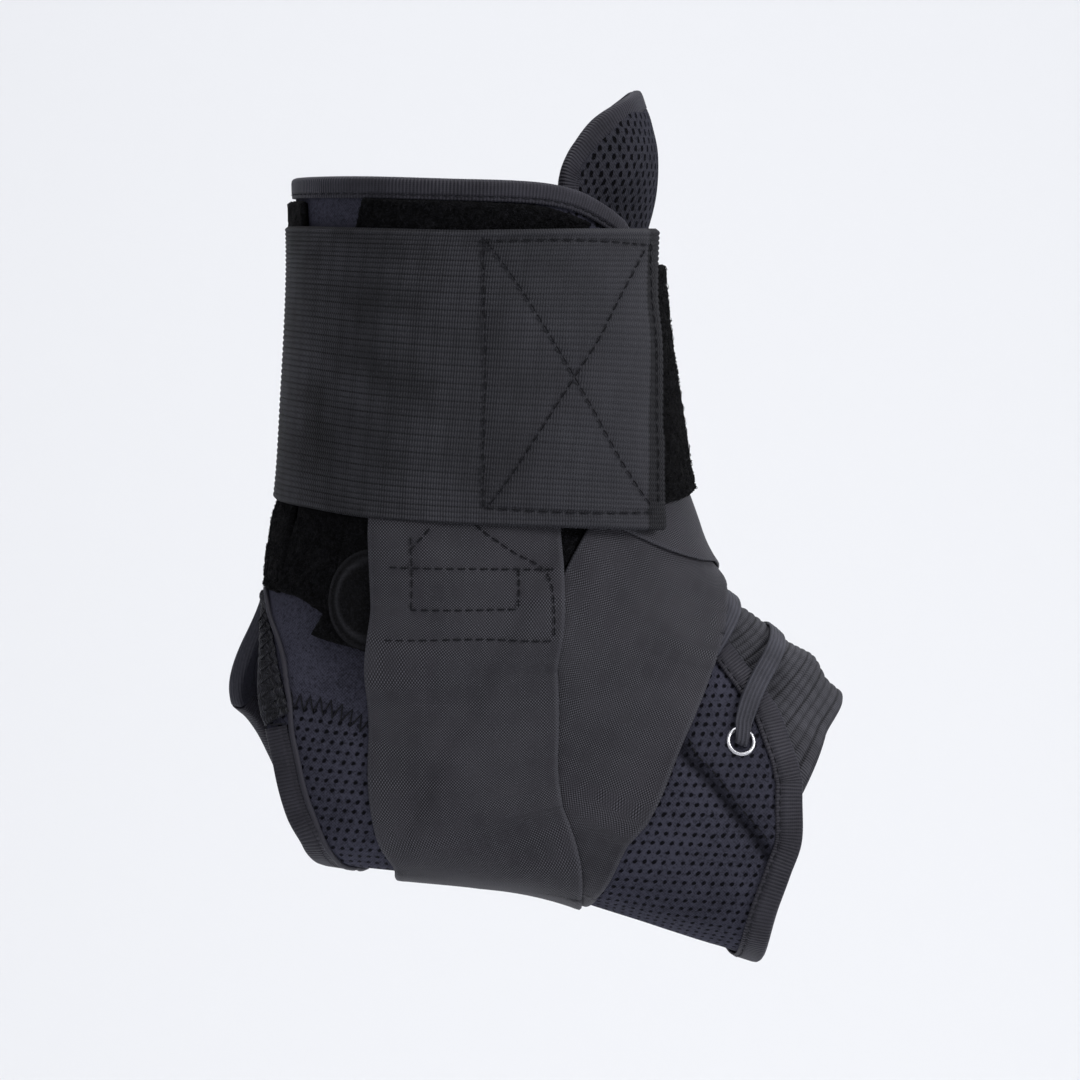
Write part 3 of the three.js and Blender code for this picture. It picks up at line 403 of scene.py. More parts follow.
def cloth_place(tree, turn=0.0):
    """The place in the flat cut in millimetres, turned by an angle in degrees."""
    place = add(tree, "Attribute", attribute_name="cloth")
    turned = add(tree, "VectorRotate", {"Vector": place.outputs["Vector"], "Angle": math.radians(turn)},
                 rotation_type="Z_AXIS")
    return turned.outputs["Vector"]


# Small round holes 2.4 mm apart, each row shifted by a third; the rows follow the sole's slope.
HOLE_PITCH, ROW_SHIFT, ROW_TURN = 2.4, 0.346, 3


def spacer_mesh(name, base, light, shade_and_speck, pitch, row_pitch, shift, turn, meet, open_from, open_to, depth):
    """Polyester warp knit, matt, with holes in rows painted dark as the shade inside them, a fine grain of yarn, random
    dark specks, and painted shade where the point attribute zones has y.
    """
    made, tree, out = new_material(name)
    place = cloth_place(tree, turn)
    apart = add(tree, "SeparateXYZ", {0: place})
    shifted = add(tree, "Math", {0: apart.outputs[1], 1: -shift, 2: apart.outputs[0]}, operation="MULTIPLY_ADD")
    leaning = add(tree, "CombineXYZ", {0: shifted.outputs[0], 1: apart.outputs[1]}).outputs[0]
    lattice = joined(tree, meet, wave(tree, leaning, 0, pitch), wave(tree, leaning, 1, row_pitch))
    fuzz = add(tree, "TexNoise", {"Vector": place, "Scale": 1.1, "Detail": 3.0}).outputs["Fac"]
    shaken = joined(tree, "ADD", lattice, scaled(tree, fuzz, 0.3, 0.7, -0.3, 0.3))
    zones = add(tree, "Attribute", attribute_name="zones")
    parts = add(tree, "SeparateXYZ", {0: zones.outputs["Vector"]})
    face = joined(tree, "SUBTRACT", 1.0, parts.outputs[0])
    opening = joined(tree, "MULTIPLY", scaled(tree, shaken, open_from, open_to, 0.0, 1.0), face)
    yarn = joined(tree, "MULTIPLY", wave(tree, place, 0, 0.8), wave(tree, place, 1, 0.8))
    patchy = add(tree, "TexNoise", {"Vector": place, "Scale": 0.045, "Detail": 2.0}).outputs["Fac"]
    speck = add(tree, "TexNoise", {"Vector": place, "Scale": 1.3, "Detail": 2.0, "Roughness": 0.8}).outputs["Fac"]
    body = blended(tree, scaled(tree, patchy, 0.35, 0.65, 0.0, 0.6), base, light)
    body = blended(tree, scaled(tree, yarn, -1.0, 1.0, 0.0, 0.7), body, light)
    body = blended(tree, scaled(tree, speck, 0.52, 0.7, 0.0, 0.8), body, light)
    # Random dark specks in the knit, in the same dark colour.
    body = blended(tree, scaled(tree, speck, 0.3, 0.48, 0.6, 0.0), body, shade_and_speck)
    # Painted shade: the holes take the dark colour, for the shade seen inside them.
    body = blended(tree, opening, body, shade_and_speck)
    # Painted shade from zones y: dark along the facing's crease, and fainter over the facing.
    body = blended(tree, parts.outputs[1], body, shade_and_speck)
    relief = joined(tree, "SUBTRACT", scaled(tree, yarn, -1.0, 1.0, 0.0, 0.16), opening)
    cloth_shader(tree, out, body, relief, depth, 0.85, sheen=0.06, sheen_tint="#7C80B0", specular=0.06)
    return made


panel_mesh = spacer_mesh("spacer_mesh", "#212129", "#3B3B47", "#07070B", HOLE_PITCH, HOLE_PITCH, ROW_SHIFT,
                         ROW_TURN, "ADD", 0.8, 1.6, 0.45)

s = np.linspace(0, 1, PANEL_CELLS + 1)[None, :, None]


def panel_grid(upper, lower):
    """The cut of a side panel as a grid, between its top, toe, front and back edges."""
    top_line, toe_line = trace(TOP_EDGE, PANEL_CELLS)[::-1], trace(TOE_EDGE, PANEL_CELLS)
    front_line, back_line = chain(FRONT_EDGE, FRONT_CELLS), chain([BACK_SEAM, upper, lower, SOLE_SEAM], BACK_CELLS)
    t = np.linspace(0, 1, len(front_line))[:, None, None]
    return ((1 - t) * top_line + t * toe_line + (1 - s) * front_line[:, None] + s * back_line[:, None]
            - (1 - s) * (1 - t) * top_line[0] - s * (1 - t) * top_line[-1]
            - (1 - s) * t * toe_line[0] - s * t * toe_line[-1])


grids = {"outer": panel_grid(HEEL_UPPER, HEEL_LOWER), "inner": panel_grid(INNER_HEEL_UPPER, INNER_HEEL_LOWER)}


def panel_top(v, phi):
    """Height of a panel's face: the mesh, its soft waves, the eyelet facing and the seams."""
    phi = np.abs((phi + 180) % 360 - 180)
    facing = off_line(v, phi, FACING_EDGE)[0]
    seam, _ = off_line(v, phi, LYCRA_EDGE)
    soft = 0.22 * np.sin(v * 5.1 + phi * 0.11) * np.sin(v * 2.3 - phi * 0.17)
    crease = -1.1 * np.exp(-((facing + CREASE_PLACE) / CREASE_WIDTH) ** 2) * ease(6.9, 7.4, v)
    layer = FACING_THICKNESS * ease(-0.6, 1.4, facing) * (1 - 0.5 * ease(3, 12, facing)) * ease(7.0, 7.6, v)
    return PANEL_THICKNESS + soft * ease(0.2, 0.6, v) + crease + layer - 0.35 * np.exp(-(seam / 2.6) ** 2)


for side, sign in SIDES:
    v, phi = grids[side][..., 0], grids[side][..., 1]
    bare = lift(v, phi, 0)
    from_edge = np.minimum(np.linalg.norm(bare - bare[:, :1], axis=-1),
                           np.linalg.norm(bare - bare[-1:], axis=-1))
    top = PANEL_THICKNESS + (panel_top(v, phi) - PANEL_THICKNESS) * ease(5.5, 8.5, from_edge)
    flat = unrolled(v, phi)
    facing = off_line(v, phi, FACING_EDGE)[0]
    seam, _ = off_line(v, phi, LYCRA_EDGE)
    panel = sheet_body(side + "_panel_cloth", v, phi * sign, np.zeros_like(v), top, flat, panel_mesh, 0.1)
    zones = np.zeros((len(panel.data.vertices), 3))
    above = ease(-1.5, 1.5, -seam if seam[0, 5] < 0 else seam)
    zones[:v.size, 0] = (above * ease(88, 108, phi)).ravel()
    # Painted shade for zones y: dark along the crease beside the facing's edge, and fainter over the facing.
    fold = 0.8 * np.exp(-((facing + CREASE_PLACE) / CREASE_WIDTH) ** 2) + FACING_SHADE * ease(-0.6, 1.4, facing)
    zones[:v.size, 1] = (fold * ease(6.9, 7.4, v)).ravel()
    zones[v.size:2 * v.size, 0] = 1
    panel.data.attributes.new("zones", "FLOAT_VECTOR", "POINT").data.foreach_set("vector", zones.ravel())
    dress(panel, "panel_mesh", side + "_panel")

# Sewing thread: bonded polyester, 0.4 mm, in lockstitches 2.6 mm apart that draw the cloth in.
THREAD_RADIUS, STITCH_PITCH, STITCH_LENGTH, DRAW_IN, DRAW_WIDTH = 0.2, 2.6, 1.9, 0.32, 0.9


def thread_material(name, colour):
    """Filament thread, a little shiny, with its twist as a fine slant."""
    made, tree, out = new_material(name)
    twist = add(tree, "TexNoise", {"Scale": 2500.0, "Detail": 1.0})
    body = blended(tree, twist.outputs["Fac"], colour, "#17171B")
    cloth_shader(tree, out, body, twist.outputs["Fac"], 0.1, 0.6)
    return made


dark_thread = thread_material("dark_thread", "#08080B")


def tubes(name, runs, radius, material, sides=6, close=False):
    """One mesh of round threads from runs of points, with rounded ends."""
    points, faces = [], []
    turn = np.linspace(0, 2 * math.pi, sides, endpoint=False)
    for run in runs:
        run = np.asarray(run, float)
        ahead = unit(np.gradient(run, axis=0))
        if close:
            ahead = unit(np.roll(run, -1, 0) - np.roll(run, 1, 0))
        side = unit(np.cross(ahead, np.where(np.abs(ahead[:, 2:]) > 0.9, [1.0, 0, 0], [0, 0, 1.0])))
        up = np.cross(side, ahead)
        from_end = np.minimum(np.arange(len(run)), np.arange(len(run))[::-1])
        taper = np.ones(len(run)) if close else np.clip(from_end, 0, 1) * 0.55 + 0.45
        ring = side[:, None] * np.cos(turn)[:, None] + up[:, None] * np.sin(turn)[:, None]
        ring = ring * (radius * taper)[:, None, None]
        base = sum(len(p) for p in points)
        points.append((run[:, None] + ring).reshape(-1, 3))
        count = len(run) if close else len(run) - 1
        for i in range(count):
            a, b = base + i * sides, base + (i + 1) % len(run) * sides
            faces += [(a + j, a + (j + 1) % sides, b + (j + 1) % sides, b + j) for j in range(sides)]
        if not close:
            faces += [tuple(base + j for j in reversed(range(sides))),
                      tuple(base + (len(run) - 1) * sides + j for j in range(sides))]
    return new_object(name, np.vstack(points), faces, material)


def sewn(line, height, pitch=STITCH_PITCH, length=STITCH_LENGTH):
    """Runs of a line of lockstitches over the face of a layer."""
    spots = lift(*trace(line, 40)[:, :2].T, 0)
    count = max(2, round(np.linalg.norm(np.diff(spots, axis=0), axis=1).sum() / pitch))
    dense = trace(line, count * 8)
    share = round(8 * length / pitch)
    runs = []
    for k in range(count):
        v, phi = dense[k * 8:k * 8 + share + 1, :2].T
        rise = np.sin(np.linspace(0, math.pi, len(v)))
        runs.append(lift(v, phi, height(v, phi) - DRAW_IN + THREAD_RADIUS * (0.1 + 1.5 * rise)))
    return runs


def zigzag(line, height, pitch, reach):
    """One run of thread that zigzags over a line, its corners sunk into the cloth."""
    spots = lift(*trace(line, 40)[:, :2].T, 0)
    count = round(np.linalg.norm(np.diff(spots, axis=0), axis=1).sum() / pitch) * 2
    dense = trace(line, count * 4)
    v, phi = dense[:, 0], dense[:, 1]
    along = np.gradient(lift(v, phi, 0), axis=0)
    across = unit(np.cross(form_normal(v, phi), along))
    saw = np.abs((np.arange(len(v)) / 4 % 2) - 1) * 2 - 1
    dv, dphi = step_for(across, *slopes(v, phi, 0.0))
    v, phi = v + dv * saw * reach, phi + dphi * saw * reach
    return [lift(v, phi, height(v, phi) + THREAD_RADIUS * (1.1 - 1.3 * np.abs(saw) ** 6))]


def drawn_in(v, phi, *lines):
    """How far lines of stitches draw a layer in at each point."""
    drop = np.zeros(np.shape(v))
    for line in lines:
        gap, share = off_line(v, phi, line, 0.0)
        inside_run = (share > 0.012) & (share < 0.988)
        drop += np.where(inside_run, DRAW_IN * np.exp(-(gap / DRAW_WIDTH) ** 2), 0)
    return drop


mirror = lambda points: [[v, -phi, *rest] for v, phi, *rest in points]
seam_runs = []
for side, sign in SIDES:
    at = lambda line: line if sign > 0 else mirror(line)
    seam_runs += zigzag(at([[4.84, 137], [4.86, 133], [5.01, 121], [5.3, 110], [5.4, 100]]), panel_top, 2.5, 2.2)
    seam_runs += sewn(at([[7.5, 66.5], [7.84, 71], [8.44, 77], [9.09, 83], [9.45, 87]]), panel_top)
seams = tubes("panel_seams", seam_runs, THREAD_RADIUS, dark_thread)
dress(seams, "panel_mesh")

# Binding: grosgrain tape, 16 mm of ribbed polyester folded in half over the raw edges and sewn through.
# One loop runs round the top, both fronts and the toe end; its ribs cross it, 0.85 mm apart.
TAPE_WIDTH, TAPE_THICKNESS, TAPE_CLEARANCE, TAPE_SLACK, SEAM_GAP = 6.2, 0.6, 0.15, 0.4, 0.3
RIB_PITCH = 0.85


def grosgrain_material(name, base, light, pitch, rib_axis=0, depth=0.22, roughness=0.55):
    """Ribbed filament tape: a soft sheen on each rib, painted shade between the ribs, rubbed paler where it is handled.
    """
    made, tree, out = new_material(name)
    place = cloth_place(tree)
    rib = wave(tree, place, rib_axis, pitch)
    thread = wave(tree, place, 1 - rib_axis, 0.5)
    patchy = add(tree, "TexNoise", {"Vector": place, "Scale": 0.12, "Detail": 3.0}).outputs["Fac"]
    fuzz = add(tree, "TexNoise", {"Vector": place, "Scale": 1.6, "Detail": 3.0}).outputs["Fac"]
    body = blended(tree, scaled(tree, patchy, 0.3, 0.7, 0.0, 1.0), base, light)
    # Painted shade: the valleys between the ribs are darkened.
    body = blended(tree, scaled(tree, rib, -1.0, 0.2, 0.5, 0.0), body, "#0E0E12")
    body = blended(tree, scaled(tree, fuzz, 0.45, 0.75, 0.0, 0.4), body, light)
    relief = joined(tree, "ADD", rib, scaled(tree, thread, -1.0, 1.0, 0.0, 0.25))
    cloth_shader(tree, out, body, relief, depth, roughness)
    return made


grosgrain = grosgrain_material("grosgrain_tape", "#26252B", "#333239", RIB_PITCH, depth=0.1)


def tape_section(width):
    """Outline of a folded tape: a round fold over the edge, two arms, and a stitch line that draws them in."""
    fold = np.linspace(-math.pi / 2, math.pi / 2, 9)
    shell = [(0.9 - 1.55 * math.cos(a) ** 0.7, math.copysign(abs(math.sin(a)) ** 0.8, a)) for a in fold]
    arm = [(width * t, 1) for t in (0.42, 0.6, 0.74)] + [(width - 1.3, 0.86), (width - 0.6, 0.97)]
    end = [(width + 0.05, 0.93), (width + 0.1, 0.8)]
    arms = [*arm, *end]
    inner = [(width, 0.72), (0.2, 0.72), (-0.25, 0.4), (-0.25, -0.4), (0.2, -0.72), (width, -0.72)]
    return np.array([*[(u, -k) for u, k in reversed(arms)], *shell, *arms, *inner])


def folded_tape(name, edge, side, width, wall, low, high, material, closed=False, ripple=None):
    """A tape folded round an edge line of [v, phi]; low and high are the heights of the layer's faces."""
    edge = np.asarray(edge, float)
    n = len(edge)
    v, phi = edge[:, 0], edge[:, 1]
    spots = lift(v, phi, 0)
    if closed:
        ahead = np.roll(spots, -1, 0) - np.roll(spots, 1, 0)
    else:
        ahead = np.gradient(spots, axis=0)
    run = run_of(spots)
    inward = unit(np.cross(form_normal(v, phi), ahead))
    dv, dphi = step_for(inward, *slopes(v, phi, 0.0))
    width = np.broadcast_to(width, (n,))
    rings, around = [], []
    for i in range(n):
        section = tape_section(width[i])
        u = section[:, 0]
        pv, pphi = v[i] - dv[i] * side * u, phi[i] - dphi[i] * side * u
        lo, hi = np.broadcast_to(low(pv, pphi), u.shape), np.broadcast_to(high(pv, pphi), u.shape)
        middle, half = (lo + hi) / 2, (hi - lo) / 2 + TAPE_CLEARANCE + wall
        h = middle + half * section[:, 1]
        if ripple is not None:
            h = h + ripple(run[i], u) * np.sign(section[:, 1]) * (np.arange(len(u)) < len(u) - 6)
        rings.append(lift(pv, pphi, h))
        around.append(np.concatenate([[0], np.cumsum(np.hypot(np.diff(u), np.diff(h)))]))
    rings = np.array(rings)
    m = rings.shape[1]
    count = n if closed else n - 1
    a = (np.arange(count)[:, None] * m + np.arange(m)).ravel()
    b = (np.arange(count)[:, None] * m + (np.arange(m) + 1) % m).ravel()
    shift = lambda k: (k + m) % (n * m)
    faces = np.stack([a, b, shift(b), shift(a)], 1).tolist()
    if not closed:
        faces += [list(range(m))[::-1], [(n - 1) * m + j for j in range(m)]]
    points = rings.reshape(-1, 3)
    f = np.array([q[:3] for q in faces[:count * m]])
    if (points[f[:, 0]] * np.cross(points[f[:, 1]], points[f[:, 2]])).sum() < 0:
        faces = [q[::-1] for q in faces]
    made = new_object(name, points, faces, material)
    cloth = np.zeros((len(points), 3))
    cloth[:, 0] = np.repeat(run, m)
    cloth[:, 1] = np.array(around).ravel()
    cloth[:, 2] = 1
    at_points(made, "cloth", cloth)
    return made


tape_low = lambda v, phi: np.full(np.shape(v), -TAPE_SLACK)
tape_high = lambda v, phi: np.full(np.shape(v), PANEL_THICKNESS + SEAM_GAP)
TAPE_TOP = PANEL_THICKNESS + SEAM_GAP + TAPE_CLEARANCE + TAPE_THICKNESS
outer_grid = grids["outer"]
outer_edge = np.vstack([outer_grid[0, ::-1], outer_grid[1:-1, 0], outer_grid[-1]])


def evenly(line, pitch):
    """The line resampled at an even pitch over the form."""
    spots = lift(line[:, 0], line[:, 1], 0)
    run = run_of(spots)
    wanted = np.linspace(0, run[-1], int(run[-1] / pitch) + 1)
    return np.stack([np.interp(wanted, run, line[:, j]) for j in range(2)], 1)


outer_edge = evenly(outer_edge, 1.3)
inner_edge = outer_edge[::-1][1:-1] * [1, -1] + [0, 360]
loop = np.vstack([outer_edge, inner_edge])
narrowed = lambda v: TAPE_WIDTH - 1.5 * (1 - ease(0.6, 3, v))
edge_tape = folded_tape("edge_binding", loop, 1, narrowed(loop[:, 0]), TAPE_THICKNESS, tape_low, tape_high,
                        grosgrain, True)
dress(edge_tape, "grosgrain", "edge_tape")
v, phi = outer_edge[2:-2].T
ahead = np.gradient(lift(v, phi, 0), axis=0)
dv, dphi = step_for(unit(np.cross(form_normal(v, phi), ahead)), *slopes(v, phi, 0.0))
stitch_line = np.stack([v - dv * (narrowed(v) - 1.0), phi - dphi * (narrowed(v) - 1.0)], 1)[::3].tolist()
binding_height = lambda v, phi: np.full(np.shape(v), TAPE_TOP + 0.02)
tape_runs = sewn(stitch_line, binding_height) + sewn(mirror(stitch_line), binding_height)
tape_thread = thread_material("tape_thread", "#26262B")
dress(tubes("binding_stitches", tape_runs, THREAD_RADIUS * 0.8, tape_thread), "grosgrain")

# Heel opening: the upper edge is soft black elastic, gathered on the outer side under zigzag
# stitches and smooth on the inner one; grosgrain runs round the lower edge. A rolled cord lies beside both.
HEEL_TAPE_WIDTH, HEEL_SLACK, BAND_THICKNESS, BAND_WIDTH = 5.6, 0.5, 1.0, 7.4
GATHER_PITCH, GATHER_DEPTH = 3.1, 0.5
over = lambda line: line * [1, -1] + [0, 360]
halves = [evenly(chain([line], [60]), 0.8) for line in (HEEL_UPPER, INNER_HEEL_UPPER)]
upper_edge = np.vstack([halves[0][::-1], over(halves[1])[1:]])
middle = len(halves[0]) - 1
from_middle = np.abs(np.arange(len(upper_edge)) - middle) / middle
band_width = BAND_WIDTH * (0.35 + 0.65 * ease(0, 1, from_middle))
halves = [evenly(chain([line], [90]), 1.0)[1:] for line in (HEEL_LOWER, INNER_HEEL_LOWER)]
lower_edge = np.vstack([halves[0], over(halves[1])[::-1][1:]])


def gathered_material(name, base, light, dark, depth):
    """Knit with elastane, a little lustrous on its folds, with painted shade between them."""
    made, tree, out = new_material(name)
    place = cloth_place(tree)
    fold = wave(tree, place, 0, GATHER_PITCH)
    fuzz = add(tree, "TexNoise", {"Vector": place, "Scale": 0.9, "Detail": 4.0}).outputs["Fac"]
    body = blended(tree, scaled(tree, fuzz, 0.35, 0.7, 0.0, 1.0), base, light)
    # Painted shade between the gathers.
    body = blended(tree, scaled(tree, fold, -1.0, 0.0, 0.5, 0.0), body, dark)
    knit = wave(tree, place, 1, 0.8)
    relief = joined(tree, "ADD", joined(tree, "MULTIPLY", knit, 0.4), fuzz)
    cloth_shader(tree, out, body, relief, depth, 0.55, specular=0.15)
    return made


gathered = gathered_material("gathered_elastic", "#131316", "#2C2C32", "#030304", 0.35)
pucker = lambda run, u: (GATHER_DEPTH * np.sin(2 * math.pi * run / GATHER_PITCH + 0.6 * np.sin(u))
                         * ease(-0.5, 2, u))
panel_face = lambda v, phi: np.full(np.shape(v), PANEL_THICKNESS)
band = folded_tape("heel_gathers", upper_edge[:middle + 1], 1, band_width[:middle + 1], BAND_THICKNESS,
                   tape_low, panel_face, gathered, ripple=pucker)
dress(band, "gathered_elastic", "heel_band")
smooth_knit = gathered_material("smooth_knit", "#202028", "#2A2A33", "#202028", 0.1)
hem = folded_tape("heel_hem", upper_edge[middle:], 1, band_width[middle:], BAND_THICKNESS * 0.6,
                  tape_low, panel_face, smooth_knit)
dress(hem, "gathered_elastic", "heel_band")
heel_tape = folded_tape("heel_binding", lower_edge, -1, HEEL_TAPE_WIDTH, TAPE_THICKNESS,
                        lambda v, phi: np.full(np.shape(v), -HEEL_SLACK), tape_high, grosgrain)
dress(heel_tape, "grosgrain", "heel_tape")
ROLL_RADIUS = 0.7


def roll_line(upper, lower):
    """The line just past the binding's inner arm, round one side of the opening."""
    edge = evenly(chain([upper, lower], [60, 90]), 1.0)
    v, phi = edge.T
    reach = np.where(v < lower[0][0], BAND_WIDTH * (0.35 + 0.65 * ease(3.87, 4.6, v)),
                     HEEL_TAPE_WIDTH) + ROLL_RADIUS
    ahead = np.gradient(lift(v, phi, 0), axis=0)
    dv, dphi = step_for(unit(np.cross(form_normal(v, phi), ahead)), *slopes(v, phi, 0.0))
    line = np.stack([v + dv * reach, phi + dphi * reach], 1)
    for _ in range(12):
        line[1:-1] = (line[:-2] + 2 * line[1:-1] + line[2:]) / 4
    return line


rolls = []
for (upper, lower), (_, sign) in zip(((HEEL_UPPER, HEEL_LOWER), (INNER_HEEL_UPPER, INNER_HEEL_LOWER)), SIDES):
    v, phi = roll_line(upper, lower).T
    rolls.append(lift(v, phi * sign, panel_top(v, phi) + 0.75 * ROLL_RADIUS))
dress(tubes("heel_rolls", rolls, ROLL_RADIUS, grosgrain, 8), "grosgrain")
band_height = lambda v, phi: np.full(np.shape(v), PANEL_THICKNESS + BAND_THICKNESS + TAPE_CLEARANCE + 0.3)
band_runs = zigzag([[4.02, 165], [4.2, 157], [4.5, 147], [4.8, 140.5], [5.1, 135]], band_height, 3.2, 2.0)
dress(tubes("band_stitches", band_runs, THREAD_RADIUS, dark_thread), "gathered_elastic")

# Loop pile: brushed nylon loops on a knit, near black, that the hook straps grip.
# A strip covers the back seam and a patch lies on each panel. Its fine loops are drawn about half
# a millimetre high and thinly strewn, over a roughened face.
SEWN_GAP, PATCH_THICKNESS, BACK_WIDTH, BACK_CROWN = 0.45, 1.2, 30, 1.1
patch_floor = PANEL_THICKNESS + SEWN_GAP
patch_top = patch_floor + PATCH_THICKNESS


def ribbon(line, half, cells, h):
    """Grid of stations and angles across a line, and its place in the flat strip."""
    line = np.asarray(line, float)
    v, phi = line[:, 0], line[:, 1]
    spots = lift(v, phi, h)
    side = unit(np.cross(form_normal(v, phi), np.gradient(spots, axis=0)))
    half = np.broadcast_to(half, v.shape)
    left, right = (walk(v, phi, way, half, cells, h) for way in (side, -side))
    run = run_of(spots)
    columns = [*left[::-1], (v, phi), *right]
    across = np.linspace(1, -1, 2 * cells + 1) * half[:, None]
    flat = np.stack([np.broadcast_to(run[:, None], across.shape), across], -1)
    return np.stack([c[0] for c in columns], 1), np.stack([c[1] for c in columns], 1), flat


level = lambda v, h: np.full(np.shape(v), float(h))
PATCH_TOP = [[0.22, 129], [0.24, 115], [0.26, 95], [0.3, 76], [0.37, 66], [0.48, 56]]
PATCH_FOOT = [[3.73, 162], [3.8, 146], [4.02, 132], [4.42, 116], [4.4, 95], [3.95, 72], [3.7, 58]]
LOOP_RADIUS, LOOP_REACH, LOOP_RISE, LOOP_DENSITY = 0.085, 0.55, 0.5, 1.3


def pile_material(name, base, light, pressed="#1E1E22"):
    """Tangled nylon loops: black in the depths, grey where single filaments catch the light.
    Where the point attribute zones is 1 it is pressed flat, and paler."""
    made, tree, out = new_material(name)
    place = cloth_place(tree)
    tangle = add(tree, "TexNoise", {"Vector": place, "Scale": 1.5, "Detail": 5.0, "Roughness": 0.7,
                                    "Distortion": 1.2}).outputs["Fac"]
    speck = add(tree, "TexVoronoi", {"Vector": place, "Scale": 1.3}, feature="F1").outputs["Distance"]
    body = blended(tree, scaled(tree, tangle, 0.45, 0.7, 0.0, 1.0), base, light)
    zones = add(tree, "Attribute", attribute_name="zones")
    parts = add(tree, "SeparateXYZ", {0: zones.outputs["Vector"]})
    body = blended(tree, parts.outputs[0], body, pressed)
    relief = joined(tree, "SUBTRACT", tangle, joined(tree, "MULTIPLY", speck, 0.6))
    cloth_shader(tree, out, body, relief, 1.1, 0.9, sheen=0.0, specular=0.08)
    return made


pile = pile_material("loop_pile", "#040405", "#1C1C20")


def loops(name, v, phi, top, density):
    """Small arches of filament scattered over the face of a patch."""
    rows, columns = v.shape
    area = np.linalg.norm(np.cross(
        lift(v[:-1, 1:], phi[:-1, 1:], 0) - lift(v[:-1, :-1], phi[:-1, :-1], 0),
        lift(v[1:, :-1], phi[1:, :-1], 0) - lift(v[:-1, :-1], phi[:-1, :-1], 0)), axis=-1)
    count = int(area.sum() * density)
    cell = rng.choice(area.size, count, p=(area / area.sum()).ravel())
    i, j = cell // (columns - 1), cell % (columns - 1)
    a, b = rng.random((2, count))
    pv, pphi, ph = ((g[i, j] * (1 - a) + g[i + 1, j] * a) * (1 - b)
                    + (g[i, j + 1] * (1 - a) + g[i + 1, j + 1] * a) * b for g in (v, phi, top))
    foot, normal = lift(pv, pphi, ph - 0.15), form_normal(pv, pphi)
    along = unit(np.cross(normal, rng.normal(size=(count, 3))))
    reach, rise = LOOP_REACH * rng.uniform(0.6, 1.5, count), LOOP_RISE * rng.uniform(0.4, 1.3, count)
    lean = unit(np.cross(normal, along)) * (rng.normal(size=(count, 1)) * 0.3)
    arch = np.linspace(0, math.pi, 5)
    runs = (foot[:, None] + along[:, None] * (-np.cos(arch) * reach[:, None])[..., None]
            + (normal + lean)[:, None] * (np.sin(arch) * rise[:, None])[..., None])
    side = np.cross(along, normal)[:, None]
    up = unit(np.gradient(runs, axis=1))
    out_of = np.cross(up, side)
    corners = [side * math.cos(q) + out_of * math.sin(q) for q in (0.0, 2.1, 4.2)]
    points = np.stack([runs + c * LOOP_RADIUS for c in corners], 2).reshape(-1, 3)
    base = (np.arange(count)[:, None] * 15 + np.arange(4) * 3).ravel()[:, None]
    quads = np.concatenate([base + [j, (j + 1) % 3, 3 + (j + 1) % 3, 3 + j] for j in range(3)])
    made = new_object(name, points, quads.tolist(), pile)
    cloth = np.zeros((len(points), 3))
    cloth[:, :2] = np.repeat(unrolled(pv, np.abs(pphi)), 15, 0)
    cloth[:, 2] = 1
    at_points(made, "cloth", cloth)
    return made


def tufted(v, h, depth=0.28):
    """A face level at h, roughened as pile is."""
    return h + rng.uniform(-depth, depth, np.shape(v))


def between(head, foot, across, down):
    """Grid from one line to another."""
    top, end = trace(head, across), trace(foot, across)
    t = np.linspace(0, 1, down + 1)[:, None, None]
    grid = top[:, :2] + (end - top)[:, :2] * t
    return grid[..., 0], grid[..., 1]


back_line = trace([[0.26, 180], [1, 180], [2, 180], [3, 180], [3.74, 180]], 90)
v, phi, flat = ribbon(back_line, BACK_WIDTH / 2, 14, PANEL_THICKNESS)
crown = ease(2.8, 3.1, v) * (1 - ease(3.4, 3.74, v)) + 0.8 * (1 - ease(0.5, 0.8, v))
top = tufted(v, patch_top) - 0.5 + BACK_CROWN * crown
back_strip = sheet_body("back_pile", v, phi, level(v, patch_floor - 0.3), top, flat, pile)
dress(back_strip, "black_webbing", "back_tape")
dress(loops("back_loops", v[64:], phi[64:], top[64:], LOOP_DENSITY), "loop_pile")
for side, sign in SIDES:
    v, phi = between(PATCH_TOP, PATCH_FOOT, 104, 92)
    top = tufted(v, patch_top)
    made = sheet_body(side + "_pile", v, phi * sign, level(v, patch_floor), top, unrolled(v, phi), pile)
    dress(made, "loop_pile", side + "_loop_patch")
    bare = (slice(0, 10), slice(0, None)), (slice(60, None), slice(0, 60))
    for k, (rows, columns) in enumerate(bare):
        spots = v[rows, columns], phi[rows, columns] * sign, top[rows, columns]
        dress(loops(f"{side}_loops_{k}", *spots, LOOP_DENSITY), "loop_pile")

# Strap end under the vertical strap: a square end of pile, and over it the round hook tab
# that anchors the strap, its rim pressed flat and a little paler.
TAB_CENTRE, TAB_RADIUS, TAB_THICKNESS, TAB_TAIL, TAB_STAND = [3.83, 119], 12.5, 1, 14, 0.75
v, phi = between([[3.0, 131], [3.0, 112]], [[4.2, 135.5], [4.45, 112]], 22, 34)
top = tufted(v, patch_top + TAB_STAND, 0.2)
made = sheet_body("square_end", v, phi, level(v, patch_top - 0.2), top, unrolled(v, phi), pile)
dress(made, "loop_pile")
dress(loops("square_end_loops", v, phi, top, LOOP_DENSITY), "loop_pile")
tab_v, tab_phi = (np.array([float(x)]) for x in TAB_CENTRE)
_, round_way = slopes(tab_v, tab_phi, patch_top)
tail = walk(tab_v, tab_phi, -round_way, TAB_TAIL, 14, patch_top)
nose = walk(tab_v, tab_phi, round_way, TAB_RADIUS * 0.999, 24, patch_top)
tab_line = np.array([[a[0], b[0]] for a, b in [*tail[::-1], (tab_v, tab_phi), *nose]])
ahead = np.arange(len(tab_line)) - TAB_TAIL
